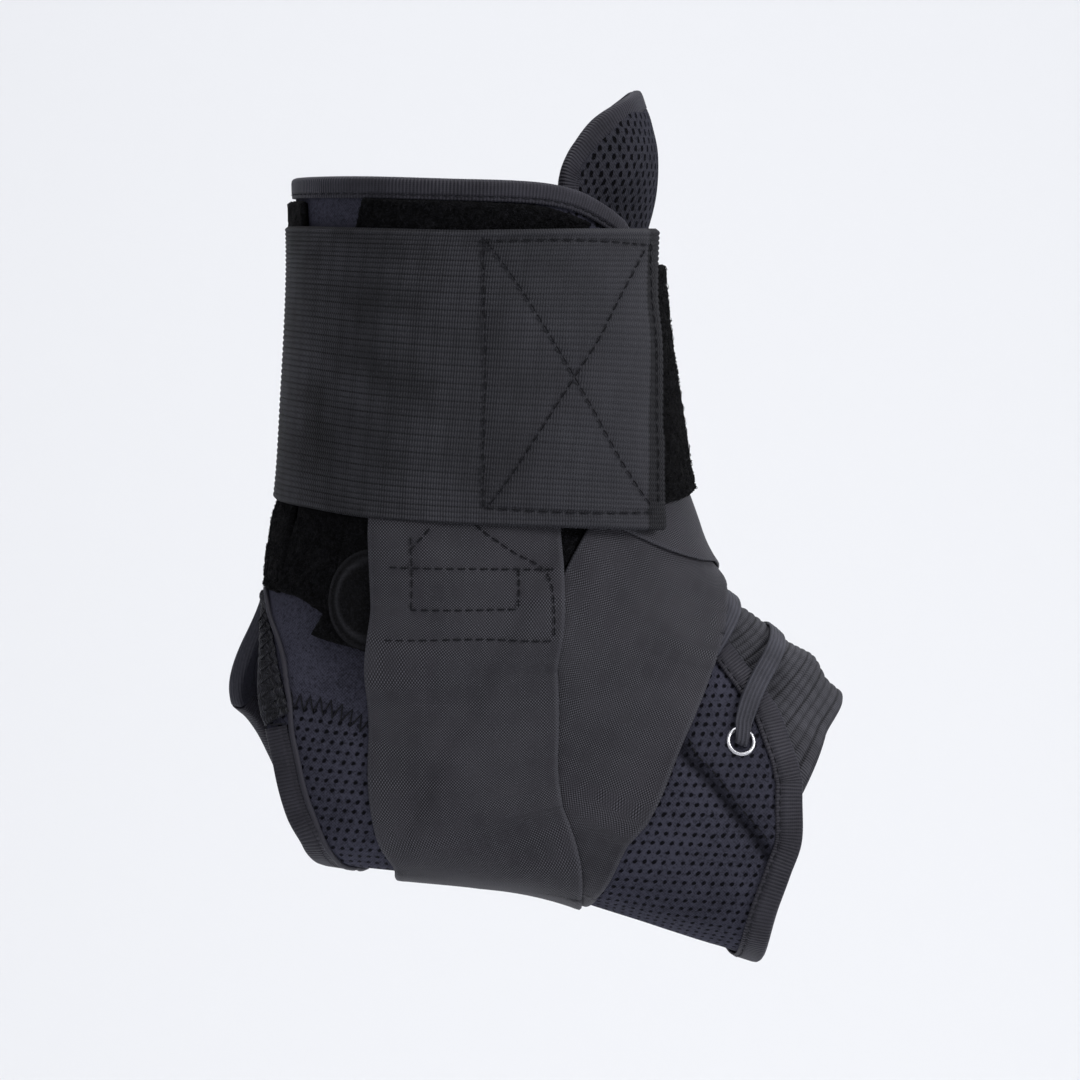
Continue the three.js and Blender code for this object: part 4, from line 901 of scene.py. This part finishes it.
tab_half = TAB_RADIUS * np.sqrt(np.clip(1 - (0.999 * np.clip(ahead, 0, None) / 24) ** 2, 0, 1))
v, phi, flat = ribbon(tab_line, tab_half, 12, patch_top)
from_middle = np.hypot(flat[..., 0] - TAB_TAIL, flat[..., 1]) * (flat[..., 0] > TAB_TAIL) + np.abs(flat[..., 1]) * (
    flat[..., 0] <= TAB_TAIL)
rim = ease(TAB_RADIUS - 3.2, TAB_RADIUS - 2.2, from_middle)
TAB_FLOOR = patch_top + TAB_STAND
top = TAB_FLOOR + TAB_THICKNESS + tufted(v, 0, 0.16) * (1 - rim) - 0.3 * rim + 0.35 * np.exp(
    -((from_middle - TAB_RADIUS + 2.4) / 0.5) ** 2)
hook_tape = pile_material("hook_tape", "#060607", "#1C1C20", "#2C2C30")
tab = sheet_body("hook_tab", v, phi, level(v, TAB_FLOOR - 0.3), top, flat, hook_tape)
zones = np.zeros((len(tab.data.vertices), 3))
pressed = np.exp(-((from_middle - TAB_RADIUS + 2.4) / 0.6) ** 2)
zones[:v.size, 0] = (pressed + 0.6 * ease(-0.9, -0.2, from_middle - TAB_RADIUS)).ravel()
at_points(tab, "zones", zones)
dress(tab, "hook_tab", "round_tab")

# Straps of the figure of eight: 47.5 mm plain-woven nylon, doubled at the ends and box-stitched.
# Each starts under the cuff, crosses the instep, passes under the sole and comes up the other side.
STRAP_LINE = [
    [2.27, 47], [2.5, 31.7], [2.69, 19.7], [2.88, 7], [3.07, -6.1], [3.27, -19], [3.57, -34.1], [4.01, -43.8],
    [4.63, -51.8], [5.17, -57.5], [5.85, -66.1], [6.35, -73.5], [6.77, -80.5], [7.08, -87.5], [7.35, -95.5],
    [7.66, -112.2], [7.84, -132.5], [7.91, -152], [7.94, -168.9], [7.94, -180], [7.92, -195], [7.83, -215],
    [7.6, -236], [7.2, -251], [6.5, -264], [5.9, -268.5], [5.24, -269.5], [4.6, -267.5], [3.96, -265],
    [3.11, -264], [2.49, -264], [1.83, -264]]
STRAP_WIDTH, STRAP_THICKNESS, STRAP_MARGIN, STRAP_EASE = 47.5, 1, 1.2, 6
LAYER_GAP, STRAP_GAP, LACE_THICKNESS = 0.25, 0.25, 1.1
TAUT_RISE = 3.5
WEAVE_PITCH, BAND_PITCH = 0.75, 5
lace_top = TAPE_TOP + LAYER_GAP + LACE_THICKNESS
over_bare = PANEL_THICKNESS + LAYER_GAP
over_instep = over_bare + 1.1
over_patch = patch_top + LAYER_GAP
over_lace = lace_top + STRAP_GAP
layer = STRAP_THICKNESS + STRAP_GAP


def ballistic_material(name, base, light, dark):
    """Plain-woven filament nylon: a small check of crossing threads painted as dark shade and pale highlight by turns,
    soft lustre, paler folded edges.
    """
    made, tree, out = new_material(name)
    place = cloth_place(tree)
    check = joined(tree, "MULTIPLY", wave(tree, place, 0, WEAVE_PITCH), wave(tree, place, 1, WEAVE_PITCH))
    bands = joined(tree, "MAXIMUM", wave(tree, place, 1, BAND_PITCH), wave(tree, place, 0, 1.3 * BAND_PITCH))
    bands = scaled(tree, bands, -0.2, 1.0, 0.35, 1.0)
    fuzz = add(tree, "TexNoise", {"Vector": place, "Scale": 2.2, "Detail": 2.0}).outputs["Fac"]
    patchy = add(tree, "TexNoise", {"Vector": place, "Scale": 0.05, "Detail": 2.0}).outputs["Fac"]
    body = blended(tree, scaled(tree, patchy, 0.35, 0.65, 0.0, 1.0), base, light)
    # Painted shade on one half of the check and painted highlight on the other, both stronger in broad bands.
    body = blended(tree, joined(tree, "MULTIPLY", scaled(tree, check, -0.9, 0.2, 1.0, 0.0), bands), body, dark)
    body = blended(tree, joined(tree, "MULTIPLY", scaled(tree, check, 0.2, 1.0, 0.0, 1.0), bands), body, "#55555C")
    apart = add(tree, "SeparateXYZ", {0: place})
    from_edge = joined(tree, "ABSOLUTE", apart.outputs[1], 0.0)
    body = blended(tree, scaled(tree, from_edge, STRAP_WIDTH / 2 - 1.0, STRAP_WIDTH / 2 - 0.3, 0.0, 0.35), body, "#44444A")
    relief = joined(tree, "ADD", check, fuzz)
    cloth_shader(tree, out, body, relief, 0.06, 0.6, sheen_tint="#8E8E98")
    return made


weave = ballistic_material("ballistic_nylon", "#28272C", "#333237", "#0B0B0D")
strap_line = trace(STRAP_LINE, 210, over_patch)
for _ in range(60):
    strap_line[1:-1] = (strap_line[:-2] + 2 * strap_line[1:-1] + strap_line[2:]) / 4


def spots_near(line):
    spots = lift(line[:, 0], line[:, 1], over_patch)
    tree = kdtree.KDTree(len(spots))
    for i, p in enumerate(spots):
        tree.insert(p, i)
    tree.balance()
    return tree


mirrored_line = strap_line * [1, -1]
first_spots, second_spots = spots_near(mirrored_line), spots_near(strap_line)


def beside(spots, v, phi):
    """1 over a strap, falling to 0 beside it."""
    at = lift(v, phi, over_patch).reshape(-1, 3)
    gap = np.array([spots.find(p)[2] for p in at]).reshape(np.shape(v))
    return 1 - ease(STRAP_WIDTH / 2 + STRAP_MARGIN, STRAP_WIDTH / 2 + STRAP_EASE, gap)


wrap = lambda phi: np.abs((phi + 180) % 360 - 180)
tab_spot = lift(*TAB_CENTRE, over_patch)


def tab_lift(v, phi):
    gap = np.linalg.norm(lift(v, phi, over_patch) - tab_spot, axis=-1)
    return (TAB_THICKNESS + 0.75) * (1 - ease(TAB_RADIUS + 3, TAB_RADIUS + 16, gap))


def first_floor(v, phi):
    turn = wrap(phi)
    upper = (over_patch - over_bare) * (1 - ease(4.6, 5.2, v)) * ease(20, 40, turn)
    eyelets = (over_instep - over_bare + (over_lace - over_instep) * ease(0, 29, turn)) * (
        1 - ease(60, 80, turn)) * (
        1 - ease(7, 8, v))
    facing = FACING_THICKNESS * ease(7.0, 7.6, v) * (1 - ease(70, 95, turn))
    taut = TAUT_RISE * (1 - ease(0, 60, turn)) * ease(2.2, 3.5, v) * (1 - ease(4.0, 5.6, v))
    return over_bare + np.maximum(upper, eyelets) + facing + taut


def second_floor(v, phi):
    return first_floor(v, phi) + tab_lift(v, phi) + layer * beside(first_spots, v, phi)


def over_straps(v, phi):
    return second_floor(v, phi) + layer * beside(second_spots, v, phi)


BOX_STITCHES = [
    [[3.5, 116], [3.56, 95], [3.65, 73]], [[3.96, 109], [4.02, 96], [4.09, 83]],
    [[4.31, 113], [4.42, 92], [4.65, 74]], [[3.2, 110.5], [3.6, 109.5], [3.99, 108.5]],
    [[3.61, 83], [3.85, 83], [4.09, 83.2]], [[3.1, 93.5], [3.4, 84.5], [3.67, 76], [4.15, 74.5], [4.61, 74]],
    [[3.12, 105.5], [3.36, 111]]]
v, phi, flat = ribbon(strap_line, STRAP_WIDTH / 2, 18, over_patch)
edge_roll = 0.1 * np.exp(-((STRAP_WIDTH / 2 - 0.9 - np.abs(flat[..., 1])) / 0.6) ** 2)
slack = 0.2 * np.sin(flat[..., 0] / 17) * np.sin(flat[..., 1] / 9 + flat[..., 0] / 31)
first = sheet_body("first_strap_cloth", v, -phi, first_floor(v, -phi), first_floor(v, -phi) + STRAP_THICKNESS * 0.8
                   + edge_roll + slack, flat, weave)
dress(first, "strap_weave", "first_strap")
turned_boxes = [[[a, b - 360] for a, b in line] for line in BOX_STITCHES]
second_top = second_floor(v, phi) + STRAP_THICKNESS * 0.8 + edge_roll + slack - drawn_in(v, phi, *turned_boxes)
second = sheet_body("second_strap_cloth", v, phi, second_floor(v, phi), second_top, flat, weave)
dress(second, "strap_weave", "second_strap")
strap_face = lambda v, phi: second_floor(v, phi) + STRAP_THICKNESS * 0.8 + 0.12
box_runs = [run for line in BOX_STITCHES for run in sewn(line, strap_face)]
dress(tubes("box_stitches", box_runs, THREAD_RADIUS, dark_thread), "strap_weave")

# Tongue: soft spacer mesh, 3 mm, with long holes, bound round its top with the same tape.
# It lies inside the front opening and leans out over the top edge.
TONGUE_THICKNESS, TONGUE_BULGE, TONGUE_DIP, TONGUE_SIDE_DIP = 3, 9, 4, 1.2
TONGUE_PINCH, TONGUE_TAPE_WIDTH = 0.75, 5.2
TONGUE_HALF_ANGLE = [[-0.95, 8], [-0.9, 17], [-0.79, 30], [-0.6, 42], [-0.3, 52], [0, 58], [0.5, 57], [1.2, 50],
                     [2.5, 46], [4, 44], [5.4, 42], [6.6, 40]]
TONGUE_INNER_SHARE = 0.8
TONGUE_TIP = -0.95
TONGUE_LEAN = [[-0.95, 0.58], [-0.6, 0.84], [-0.25, 0.99], [0.2, 0.9], [0.6, 0.62], [1, 0.25], [1.6, 0], [9, 0]]
TONGUE_LEAN_ANGLE = [[-0.4, 56], [0, 46], [0.3, 34], [9, 30]]
under_tape = -TAPE_SLACK - TAPE_CLEARANCE - TAPE_THICKNESS
inside_top = under_tape - TAPE_CLEARANCE - LACE_THICKNESS - TAPE_CLEARANCE
look_up = lambda table, x: np.interp(x, *np.array(table, float).T)


def smooth_up(table, x):
    line = dense_line(table, 24)
    return np.interp(x, line[:, 0], line[:, 1])


def hump(phi, reach):
    return np.maximum(0, np.cos(np.clip(phi / reach, -1, 1) * math.pi / 2)) ** 1.5


def tongue_top(v, phi):
    return (inside_top - TONGUE_DIP * ease(4.2, 5.2, v) - TONGUE_SIDE_DIP * ease(30, 44, np.abs(phi))
            + TONGUE_BULGE * smooth_up(TONGUE_LEAN, v) * hump(phi, look_up(TONGUE_LEAN_ANGLE, v)))


tongue_mesh = spacer_mesh("tongue_spacer_mesh", "#1F1F24", "#323239", "#020203", 2.9, 4.3, 0, 0,
                          "MULTIPLY", 0.25, 0.6, 0.8)
stations = np.concatenate([np.linspace(TONGUE_TIP, 1.6, 70), np.linspace(1.6, 6.6, 60)[1:]])
across = np.linspace(1, -1, 61)
v = np.repeat(stations[:, None], 61, 1)
inner_share = lambda v: TONGUE_INNER_SHARE + (1 - TONGUE_INNER_SHARE) * ease(0.3, 1.2, v)
phi = smooth_up(TONGUE_HALF_ANGLE, stations)[:, None] * across
phi = np.where(phi < 0, phi * inner_share(v), phi)
from_edge = (1 - np.abs(across)) * np.radians(look_up(TONGUE_HALF_ANGLE, stations))[:, None] * HALF_GIRTH
pinch = TONGUE_PINCH * (1 - ease(0, 7, np.minimum(from_edge, (v - TONGUE_TIP) * 25)))
face = lift(v, phi, tongue_top(v, phi))
step = np.linalg.norm(np.diff(face, axis=1), axis=-1)
along = np.concatenate([np.zeros((len(v), 1)), np.cumsum(step, 1)], 1)
down = np.concatenate([[0], np.cumsum(np.linalg.norm(np.diff(face[:, 30], axis=0), axis=-1))])
flat = np.stack([along - along[:, 30:31], np.broadcast_to(down[:, None], v.shape)], -1)
tongue = sheet_body("tongue_pad", v, phi, tongue_top(v, phi) - TONGUE_THICKNESS + pinch,
                    tongue_top(v, phi) - pinch, flat,
                    tongue_mesh)
dress(tongue, "tongue_mesh", "tongue")
arch_v = np.concatenate([np.linspace(0.85, -0.85, 60), [-0.9, -0.93, TONGUE_TIP]])
arch = np.stack([arch_v, smooth_up(TONGUE_HALF_ANGLE, arch_v)], 1)
far_side = np.stack([arch_v, -arch[:, 1] * inner_share(arch_v)], 1)
arch = evenly(np.vstack([arch, far_side[::-1]]), 1.0)
for _ in range(4):
    arch[1:-1] = (arch[:-2] + 2 * arch[1:-1] + arch[2:]) / 4
tongue_tape = folded_tape("tongue_binding", arch, 1, TONGUE_TAPE_WIDTH, TAPE_THICKNESS * 0.7,
                          lambda v, phi: tongue_top(v, phi) - TONGUE_THICKNESS + TONGUE_PINCH - 0.1,
                          lambda v, phi: tongue_top(v, phi) - TONGUE_PINCH + 0.1, grosgrain)
dress(tongue_tape, "grosgrain", "tongue_tape")

# Instep: wide ribbed elastic between the two fronts, each rib a cord of rubber in a woven sleeve.
ELASTIC_THICKNESS, ELASTIC_BULGE, ELASTIC_ANGLE, INSTEP_RIB = 1.6, 4.5, 36, 2.1
ELASTIC_FLARE, ELASTIC_DROP, INSTEP_CURVE = 0.42, 0.6, 0.5
INSTEP_HALF_ANGLE = [[5, 46], [6, 48], [7, 52], [8, 58], [9, 64], [9.56, 68]]


def ribbed_material(name, base, light, dark, rib, thread, hem=0.0, painted_light_end=0.0):
    """Woven elastic: rounded ribs, fine cross threads over them, painted shade in the valleys and between the cross
    threads; the last argument paints light, paler towards the start of each row.
    """
    made, tree, out = new_material(name)
    place = cloth_place(tree)
    valley = wave(tree, place, 1, rib)
    cross = wave(tree, place, 0, thread)
    bands = scaled(tree, wave(tree, place, 0, BAND_PITCH), -0.2, 1.0, 0.3, 1.0)
    third = scaled(tree, wave(tree, place, 1, 3 * rib), -0.5, 1.0, 0.55, 1.0)
    fuzz = add(tree, "TexNoise", {"Vector": place, "Scale": 1.8, "Detail": 3.0}).outputs["Fac"]
    patchy = add(tree, "TexNoise", {"Vector": place, "Scale": 0.06, "Detail": 2.0}).outputs["Fac"]
    body = blended(tree, scaled(tree, patchy, 0.3, 0.7, 0.0, 1.0), base, light)
    # Painted shade: dark between the cross threads here, and in the valleys between the ribs below.
    body = blended(tree, joined(tree, "MULTIPLY", scaled(tree, cross, -1.0, 0.6, 0.6, 0.0), bands), body, dark)
    dashes = joined(tree, "MULTIPLY", scaled(tree, valley, 0.3, 0.85, 0.0, 0.9),
                    scaled(tree, cross, -1.0, 1.0, 1.0, 0.5))
    body = blended(tree, joined(tree, "MULTIPLY", dashes, third), body, dark)
    body = blended(tree, scaled(tree, fuzz, 0.55, 0.75, 0.0, 0.35), body, light)
    apart = add(tree, "SeparateXYZ", {0: place})
    # Painted light: paler towards the start of each row, fading out over 90 mm.
    body = blended(tree, scaled(tree, apart.outputs[0], 0.0, 90.0, painted_light_end, 0.0), body, light)
    body = blended(tree, scaled(tree, apart.outputs[0], hem - 0.5, hem, 0.65, 0.0), body, dark)
    relief = joined(tree, "ADD", cross, joined(tree, "MULTIPLY", fuzz, 0.7))
    cloth_shader(tree, out, body, relief, 0.1, 0.65, sheen_tint="#8A8A96")
    return made


def elastic_top(v, phi):
    rise = ease(4.7, 5.7, v) + ELASTIC_FLARE * ease(6.9, 8.2, v) - ELASTIC_DROP * ease(7.9, 9.3, v)
    return inside_top + ELASTIC_BULGE * hump(phi, ELASTIC_ANGLE) * rise


instep_weave = ribbed_material("instep_elastic_weave", "#35353A", "#434349", "#0E0E11", INSTEP_RIB, 0.8)
probe = np.linspace(4.9, 9.56, 200)
run = run_of(lift(probe, np.full(200, 30.0), 0))
rib_count = round(run[-1] / INSTEP_RIB)
stations = np.interp(np.linspace(0, run[-1], rib_count * 5 + 1), run, probe)
v = np.repeat(stations[:, None], 61, 1)
phi = look_up(INSTEP_HALF_ANGLE, stations)[:, None] * np.linspace(1, -1, 61)
v = v + INSTEP_CURVE * hump(phi, ELASTIC_ANGLE) * ease(8.2, 9.56, v)
face = lift(v, phi, 0)
along = rows_run(face)
down = np.broadcast_to(np.linspace(0, rib_count * INSTEP_RIB, len(v))[:, None], v.shape)
cord = 0.45 * (np.abs(np.sin(down * math.pi / INSTEP_RIB)) ** 0.7 - 0.6)
instep = sheet_body("instep_elastic_cloth", v, phi, elastic_top(v, phi) - ELASTIC_THICKNESS,
                    elastic_top(v, phi) + cord,
                    np.stack([along, down], -1), instep_weave)
dress(instep, "instep_rib", "instep_elastic")

# Cuff: 76 mm ribbed elastic round the leg; its free end is doubled with hook tape, box-stitched
# with a cross, and pressed on a flap of loop pile that shows beyond it.
CUFF_TOP = [[0.57, 26], [0.56, 62], [0.57, 92], [0.55, 121], [0.53, 155], [0.53, 205], [0.55, 240], [0.6, 330]]
CUFF_FOOT = [[3.34, 40], [3.18, 66], [3.08, 93], [3, 123], [2.92, 156], [2.92, 204], [3.05, 250], [3.3, 320]]
FLAP_TOP = [[0.95, 40], [0.95, 20], [0.96, 0], [1, -20], [1.05, -44]]
FLAP_FOOT = [[3.12, 54], [3.04, 36], [2.98, 0], [3, -20], [3.1, -48]]
CUFF_THICKNESS, FLAP_THICKNESS, CUFF_RIB, CUFF_HEIGHT, CUFF_PRESS = 1.8, 1.5, 1.5, 76, 0.5
CUFF_STITCHES = [
    [[0.62, 91], [1.21, 91], [1.85, 91], [2.42, 91.5], [2.96, 91.5]], [[0.66, 91], [0.65, 66], [0.72, 34]],
    [[2.93, 91], [3.02, 69], [3.12, 43]], [[0.7, 33], [1.41, 34.5], [2.07, 37], [3.05, 41.5]],
    [[0.68, 90], [1.84, 66.5], [3.05, 44]], [[2.9, 90], [1.84, 66.5], [0.75, 36]]]


def flap_floor(v, phi):
    return np.maximum(over_lace, over_straps(v, phi)) + SEAM_GAP + 0.1 + 0.4 * ease(1, 3, v)


def bridged(height, passes=10, reach=4):
    """Heights that a taut layer takes over uneven ones: smooth from high place to high place."""
    soft = height.copy()
    for _ in range(passes):
        wide = np.pad(soft, reach, mode="edge")
        soft = np.mean([wide[reach:-reach, k:k + soft.shape[1]] for k in range(2 * reach + 1)], 0)
        wide = np.pad(soft, reach, mode="edge")
        soft = np.mean([wide[k:k + soft.shape[0], reach:-reach] for k in range(2 * reach + 1)], 0)
        soft = np.maximum(soft, height - 0.6)
    return soft


def over_flap(v, phi):
    return (1 - ease(60, 78, wrap(phi))) * ease(0.2, 0.5, v)


def cuff_floor(v, phi):
    plain = over_straps(v, phi)
    return plain + (np.maximum(plain, flap_floor(v, phi)) + FLAP_THICKNESS + STRAP_GAP - plain) * over_flap(v, phi)


# The cuff's weave takes painted light, paler towards the start of its rows.
cuff_weave = ribbed_material("cuff_elastic_weave", "#1D1D20", "#35353A", "#040405", CUFF_RIB, 0.66, 5.5, 0.8)
rib_count = round(CUFF_HEIGHT / CUFF_RIB)
v, phi = between(CUFF_TOP, CUFF_FOOT, 150, rib_count * 4)
face = lift(v, phi, over_patch)
along = rows_run(face)
down = np.broadcast_to(np.linspace(0, rib_count * CUFF_RIB, len(v))[:, None], v.shape)
cord = 0.32 * (np.abs(np.sin(down * math.pi / CUFF_RIB)) ** 0.7 - 0.6)
floor = bridged(cuff_floor(v, phi)) - CUFF_PRESS
smooth_top = floor + CUFF_THICKNESS * 0.85 + 0.35 * (1 - ease(90, 92, phi))
top = smooth_top + cord - 1.3 * drawn_in(v, phi, *CUFF_STITCHES)
cuff = sheet_body("cuff_cloth", v, phi, floor, top, np.stack([along, down], -1), cuff_weave)
dress(cuff, "cuff_rib", "cuff_elastic")
cuff_spots = kdtree.KDTree(v.size)
for i, spot in enumerate(face.reshape(-1, 3)):
    cuff_spots.insert(spot, i)
cuff_spots.balance()


def cuff_face(v, phi):
    """Height of the cuff's face under a stitch."""
    return np.array([smooth_top.flat[cuff_spots.find(spot)[1]] + 0.28 for spot in lift(v, phi, over_patch)])


cuff_runs = [run for line in CUFF_STITCHES for run in sewn(line, cuff_face, 3.0, 2.1)]
dress(tubes("cuff_stitches", cuff_runs, THREAD_RADIUS, dark_thread), "cuff_rib")
v, phi = between(FLAP_TOP, FLAP_FOOT, 90, 62)
floor = bridged(flap_floor(v, phi), 30)
top = tufted(floor, floor + FLAP_THICKNESS, 0.25)
flap = sheet_body("flap_pile", v, phi, floor, top, unrolled(v, np.abs(phi)), pile)
dress(flap, "loop_pile", "cuff_flap")
dress(loops("flap_loops", v, phi, top, 0.9), "loop_pile")

# Eyelets: two-part rolled eyelets, bright nickel on brass, pressed through the front of each panel.
EYELET_RADIUS, EYELET_HOLE, EYELET_RISE = 3.9, 2.75, 0.5
made_of, tree, out = new_material("nickel_plate")
scuff = add(tree, "TexNoise", {"Scale": 700.0, "Detail": 4.0})
bump = add(tree, "Bump", {"Strength": 0.15, "Distance": 0.0001, "Height": scuff.outputs["Fac"]})
shade = add(tree, "BsdfPrincipled", {
    "Base Color": blended(tree, scuff.outputs["Fac"], "#C9C9CE", "#B4B4BA"), "Metallic": 1.0,
    "Roughness": scaled(tree, scuff.outputs["Fac"], 0.3, 0.7, 0.2, 0.38), "Normal": bump.outputs["Normal"]})
tree.links.new(shade.outputs["BSDF"], out.inputs["Surface"])
nickel = made_of
flange = PANEL_THICKNESS + SEAM_GAP
crown = [((EYELET_HOLE + EYELET_RADIUS) / 2 - (EYELET_RADIUS - EYELET_HOLE) / 2 * math.cos(a),
          flange + 1.15 * EYELET_RISE * math.sin(a)) for a in np.linspace(0, math.pi, 9)]
EYELET_SECTION = np.array([[EYELET_HOLE, -EYELET_RISE], *crown, [EYELET_RADIUS, flange - 0.12],
                           [EYELET_HOLE + 0.45, flange - 0.12], [EYELET_HOLE + 0.45, -EYELET_RISE]])
turns = np.linspace(0, 2 * math.pi, 40, endpoint=False)
for side, sign in SIDES:
    for k, (row, angle) in enumerate(EYELETS):
        at_v, at_phi = np.float64(row), np.float64(angle * sign)
        normal = form_normal(at_v, at_phi)
        x = slopes(at_v, at_phi, 0.0)[0]
        x = unit(x - normal * (x @ normal))
        y = np.cross(normal, x)
        ring = (form_point(at_v, at_phi) + normal * EYELET_SECTION[:, 1, None]
                + (x * np.cos(turns)[:, None, None] + y * np.sin(turns)[:, None, None]) * EYELET_SECTION[:, 0, None])
        m = len(EYELET_SECTION)
        faces = [(i * m + j, i * m + (j + 1) % m, (i + 1) % 40 * m + (j + 1) % m, (i + 1) % 40 * m + j)
                 for i in range(40) for j in range(m)]
        name = f"{side}_eyelet_{k + 1}"
        dress(new_object(name + "_ring", ring.reshape(-1, 3), faces, nickel), "eyelet_metal", name)

# Lace: one flat polyester braid, 5.2 mm, with ribs along it; bars cross the front from eyelet to
# eyelet, and the runs between them lie inside the panels.
LACE_WIDTH, LACE_NARROWED = 5.2, 3.4
OUTSIDE = flange + EYELET_RISE + SEWN_GAP + LACE_THICKNESS / 2
OVER_TAPE = TAPE_TOP + LAYER_GAP + LACE_THICKNESS / 2
INSIDE = under_tape - LACE_THICKNESS / 8
BARS = [[0, 6.66, 2.6], [1, 5.15, 3.4], [2, 4.2, 0.6], [3, 3.25, 0.6], [4, 2.17, 0.6]]
BAR_SHARES = [1, 0.8, 0.66, 0.53, 0.34, 0.17, 0]
BAR_BEND, TAPE_SHARE, ASIDE = 1.7, 0.53, 13


def bar(row, middle, rise, sign):
    v, phi = EYELETS[row]
    half = []
    for t in BAR_SHARES:
        h = OVER_TAPE if t > TAPE_SHARE else rise + (OVER_TAPE - rise) * float(ease(0.1, TAPE_SHARE, t))
        half.append([middle + (v - middle) * t ** BAR_BEND, phi * t, OUTSIDE if t == 1 else h,
                     LACE_NARROWED if t == 1 else LACE_WIDTH, 0])
    half = half[1:]
    across = [[a, -b, *rest] for a, b, *rest in half[:-1][::-1]]
    return [[a, b * sign, *rest] for a, b, *rest in half + across]


def through_hole(row, sign, inwards):
    v, phi = EYELETS[row]
    made = [[v, phi * sign, h, LACE_NARROWED, turn] for h, turn in (
        (OUTSIDE - 0.2, 0), (PANEL_THICKNESS * 0.75, 0.2), (PANEL_THICKNESS * 0.1, 0.8), (INSIDE, 1))]
    return made if inwards else made[::-1]


def inside_run(start, end, sign):
    (v, phi), (v2, phi2) = EYELETS[start], EYELETS[end]
    passes = ASIDE if abs(end - start) > 1 else 0
    return [[v + (v2 - v) * t, sign * (phi + (phi2 - phi) * t + passes), INSIDE, LACE_WIDTH, 1]
            for t in (0.25, 0.5, 0.75)]


def lace_tail(sign):
    return [[v, phi * sign, patch_top + SEAM_GAP + LACE_THICKNESS / 2, LACE_WIDTH, 0]
            for v, phi in ((1.17, 52), (1.15, 58), (1.15, 64))]


lace_rows = np.array([
    *lace_tail(1)[::-1], *through_hole(5, 1, True), *inside_run(5, 3, 1), *through_hole(3, 1, False), *bar(*BARS[3], 1),
    *through_hole(3, -1, True), *inside_run(3, 1, -1), *through_hole(1, -1, False), *bar(*BARS[1], -1),
    *through_hole(1, 1, True), *inside_run(1, 0, 1), *through_hole(0, 1, False), *bar(*BARS[0], 1),
    *through_hole(0, -1, True), *inside_run(0, 2, -1), *through_hole(2, -1, False), *bar(*BARS[2], -1),
    *through_hole(2, 1, True), *inside_run(2, 4, 1), *through_hole(4, 1, False), *bar(*BARS[4], 1),
    *through_hole(4, -1, True), *inside_run(4, 5, -1), *through_hole(5, -1, False), *lace_tail(-1)], float)
fine = dense_line(lace_rows, 8)
v, phi, h, width, turn = fine.T
spots = lift(v, phi, h)
ahead = unit(np.gradient(spots, axis=0))
along_v, along_phi = slopes(v, phi, h)
angle = (turn * math.pi / 2)[:, None]
wanted = unit(along_v) * np.cos(angle) + unit(along_phi) * np.sin(angle)
across = unit(wanted - ahead * (wanted * ahead).sum(-1, keepdims=True))
up = np.cross(ahead, across)
LACE_SIDES = 36
around = np.linspace(0, 2 * math.pi, LACE_SIDES, endpoint=False)
x = np.sign(np.cos(around)) * np.abs(np.cos(around)) ** 0.7
y = np.sign(np.sin(around)) * np.abs(np.sin(around)) ** 0.6
y = y * (0.86 + 0.14 * np.cos(x * 5 * math.pi))
rings = spots[:, None] + across[:, None] * (x * width[:, None] / 2)[..., None] + up[:, None] * (
    y * LACE_THICKNESS / 2)[:, None]
n = len(fine)
faces = [(i * LACE_SIDES + j, i * LACE_SIDES + (j + 1) % LACE_SIDES, (i + 1) * LACE_SIDES + (j + 1) % LACE_SIDES,
          (i + 1) * LACE_SIDES + j) for i in range(n - 1) for j in range(LACE_SIDES)]
faces += [tuple(range(LACE_SIDES))[::-1], tuple((n - 1) * LACE_SIDES + j for j in range(LACE_SIDES))]
braid = grosgrain_material("flat_braid", "#313137", "#42424A", 1.05, 1, 0.15, 0.6)
lace = new_object("lace_braid_cord", rings.reshape(-1, 3), faces, braid)
run = run_of(spots)
cloth = np.stack([np.repeat(run, LACE_SIDES), np.tile(x, n) * np.repeat(width, LACE_SIDES) / 2,
                  np.ones(n * LACE_SIDES)], -1)
at_points(lace, "cloth", cloth)
dress(lace, "lace_braid", "lace")
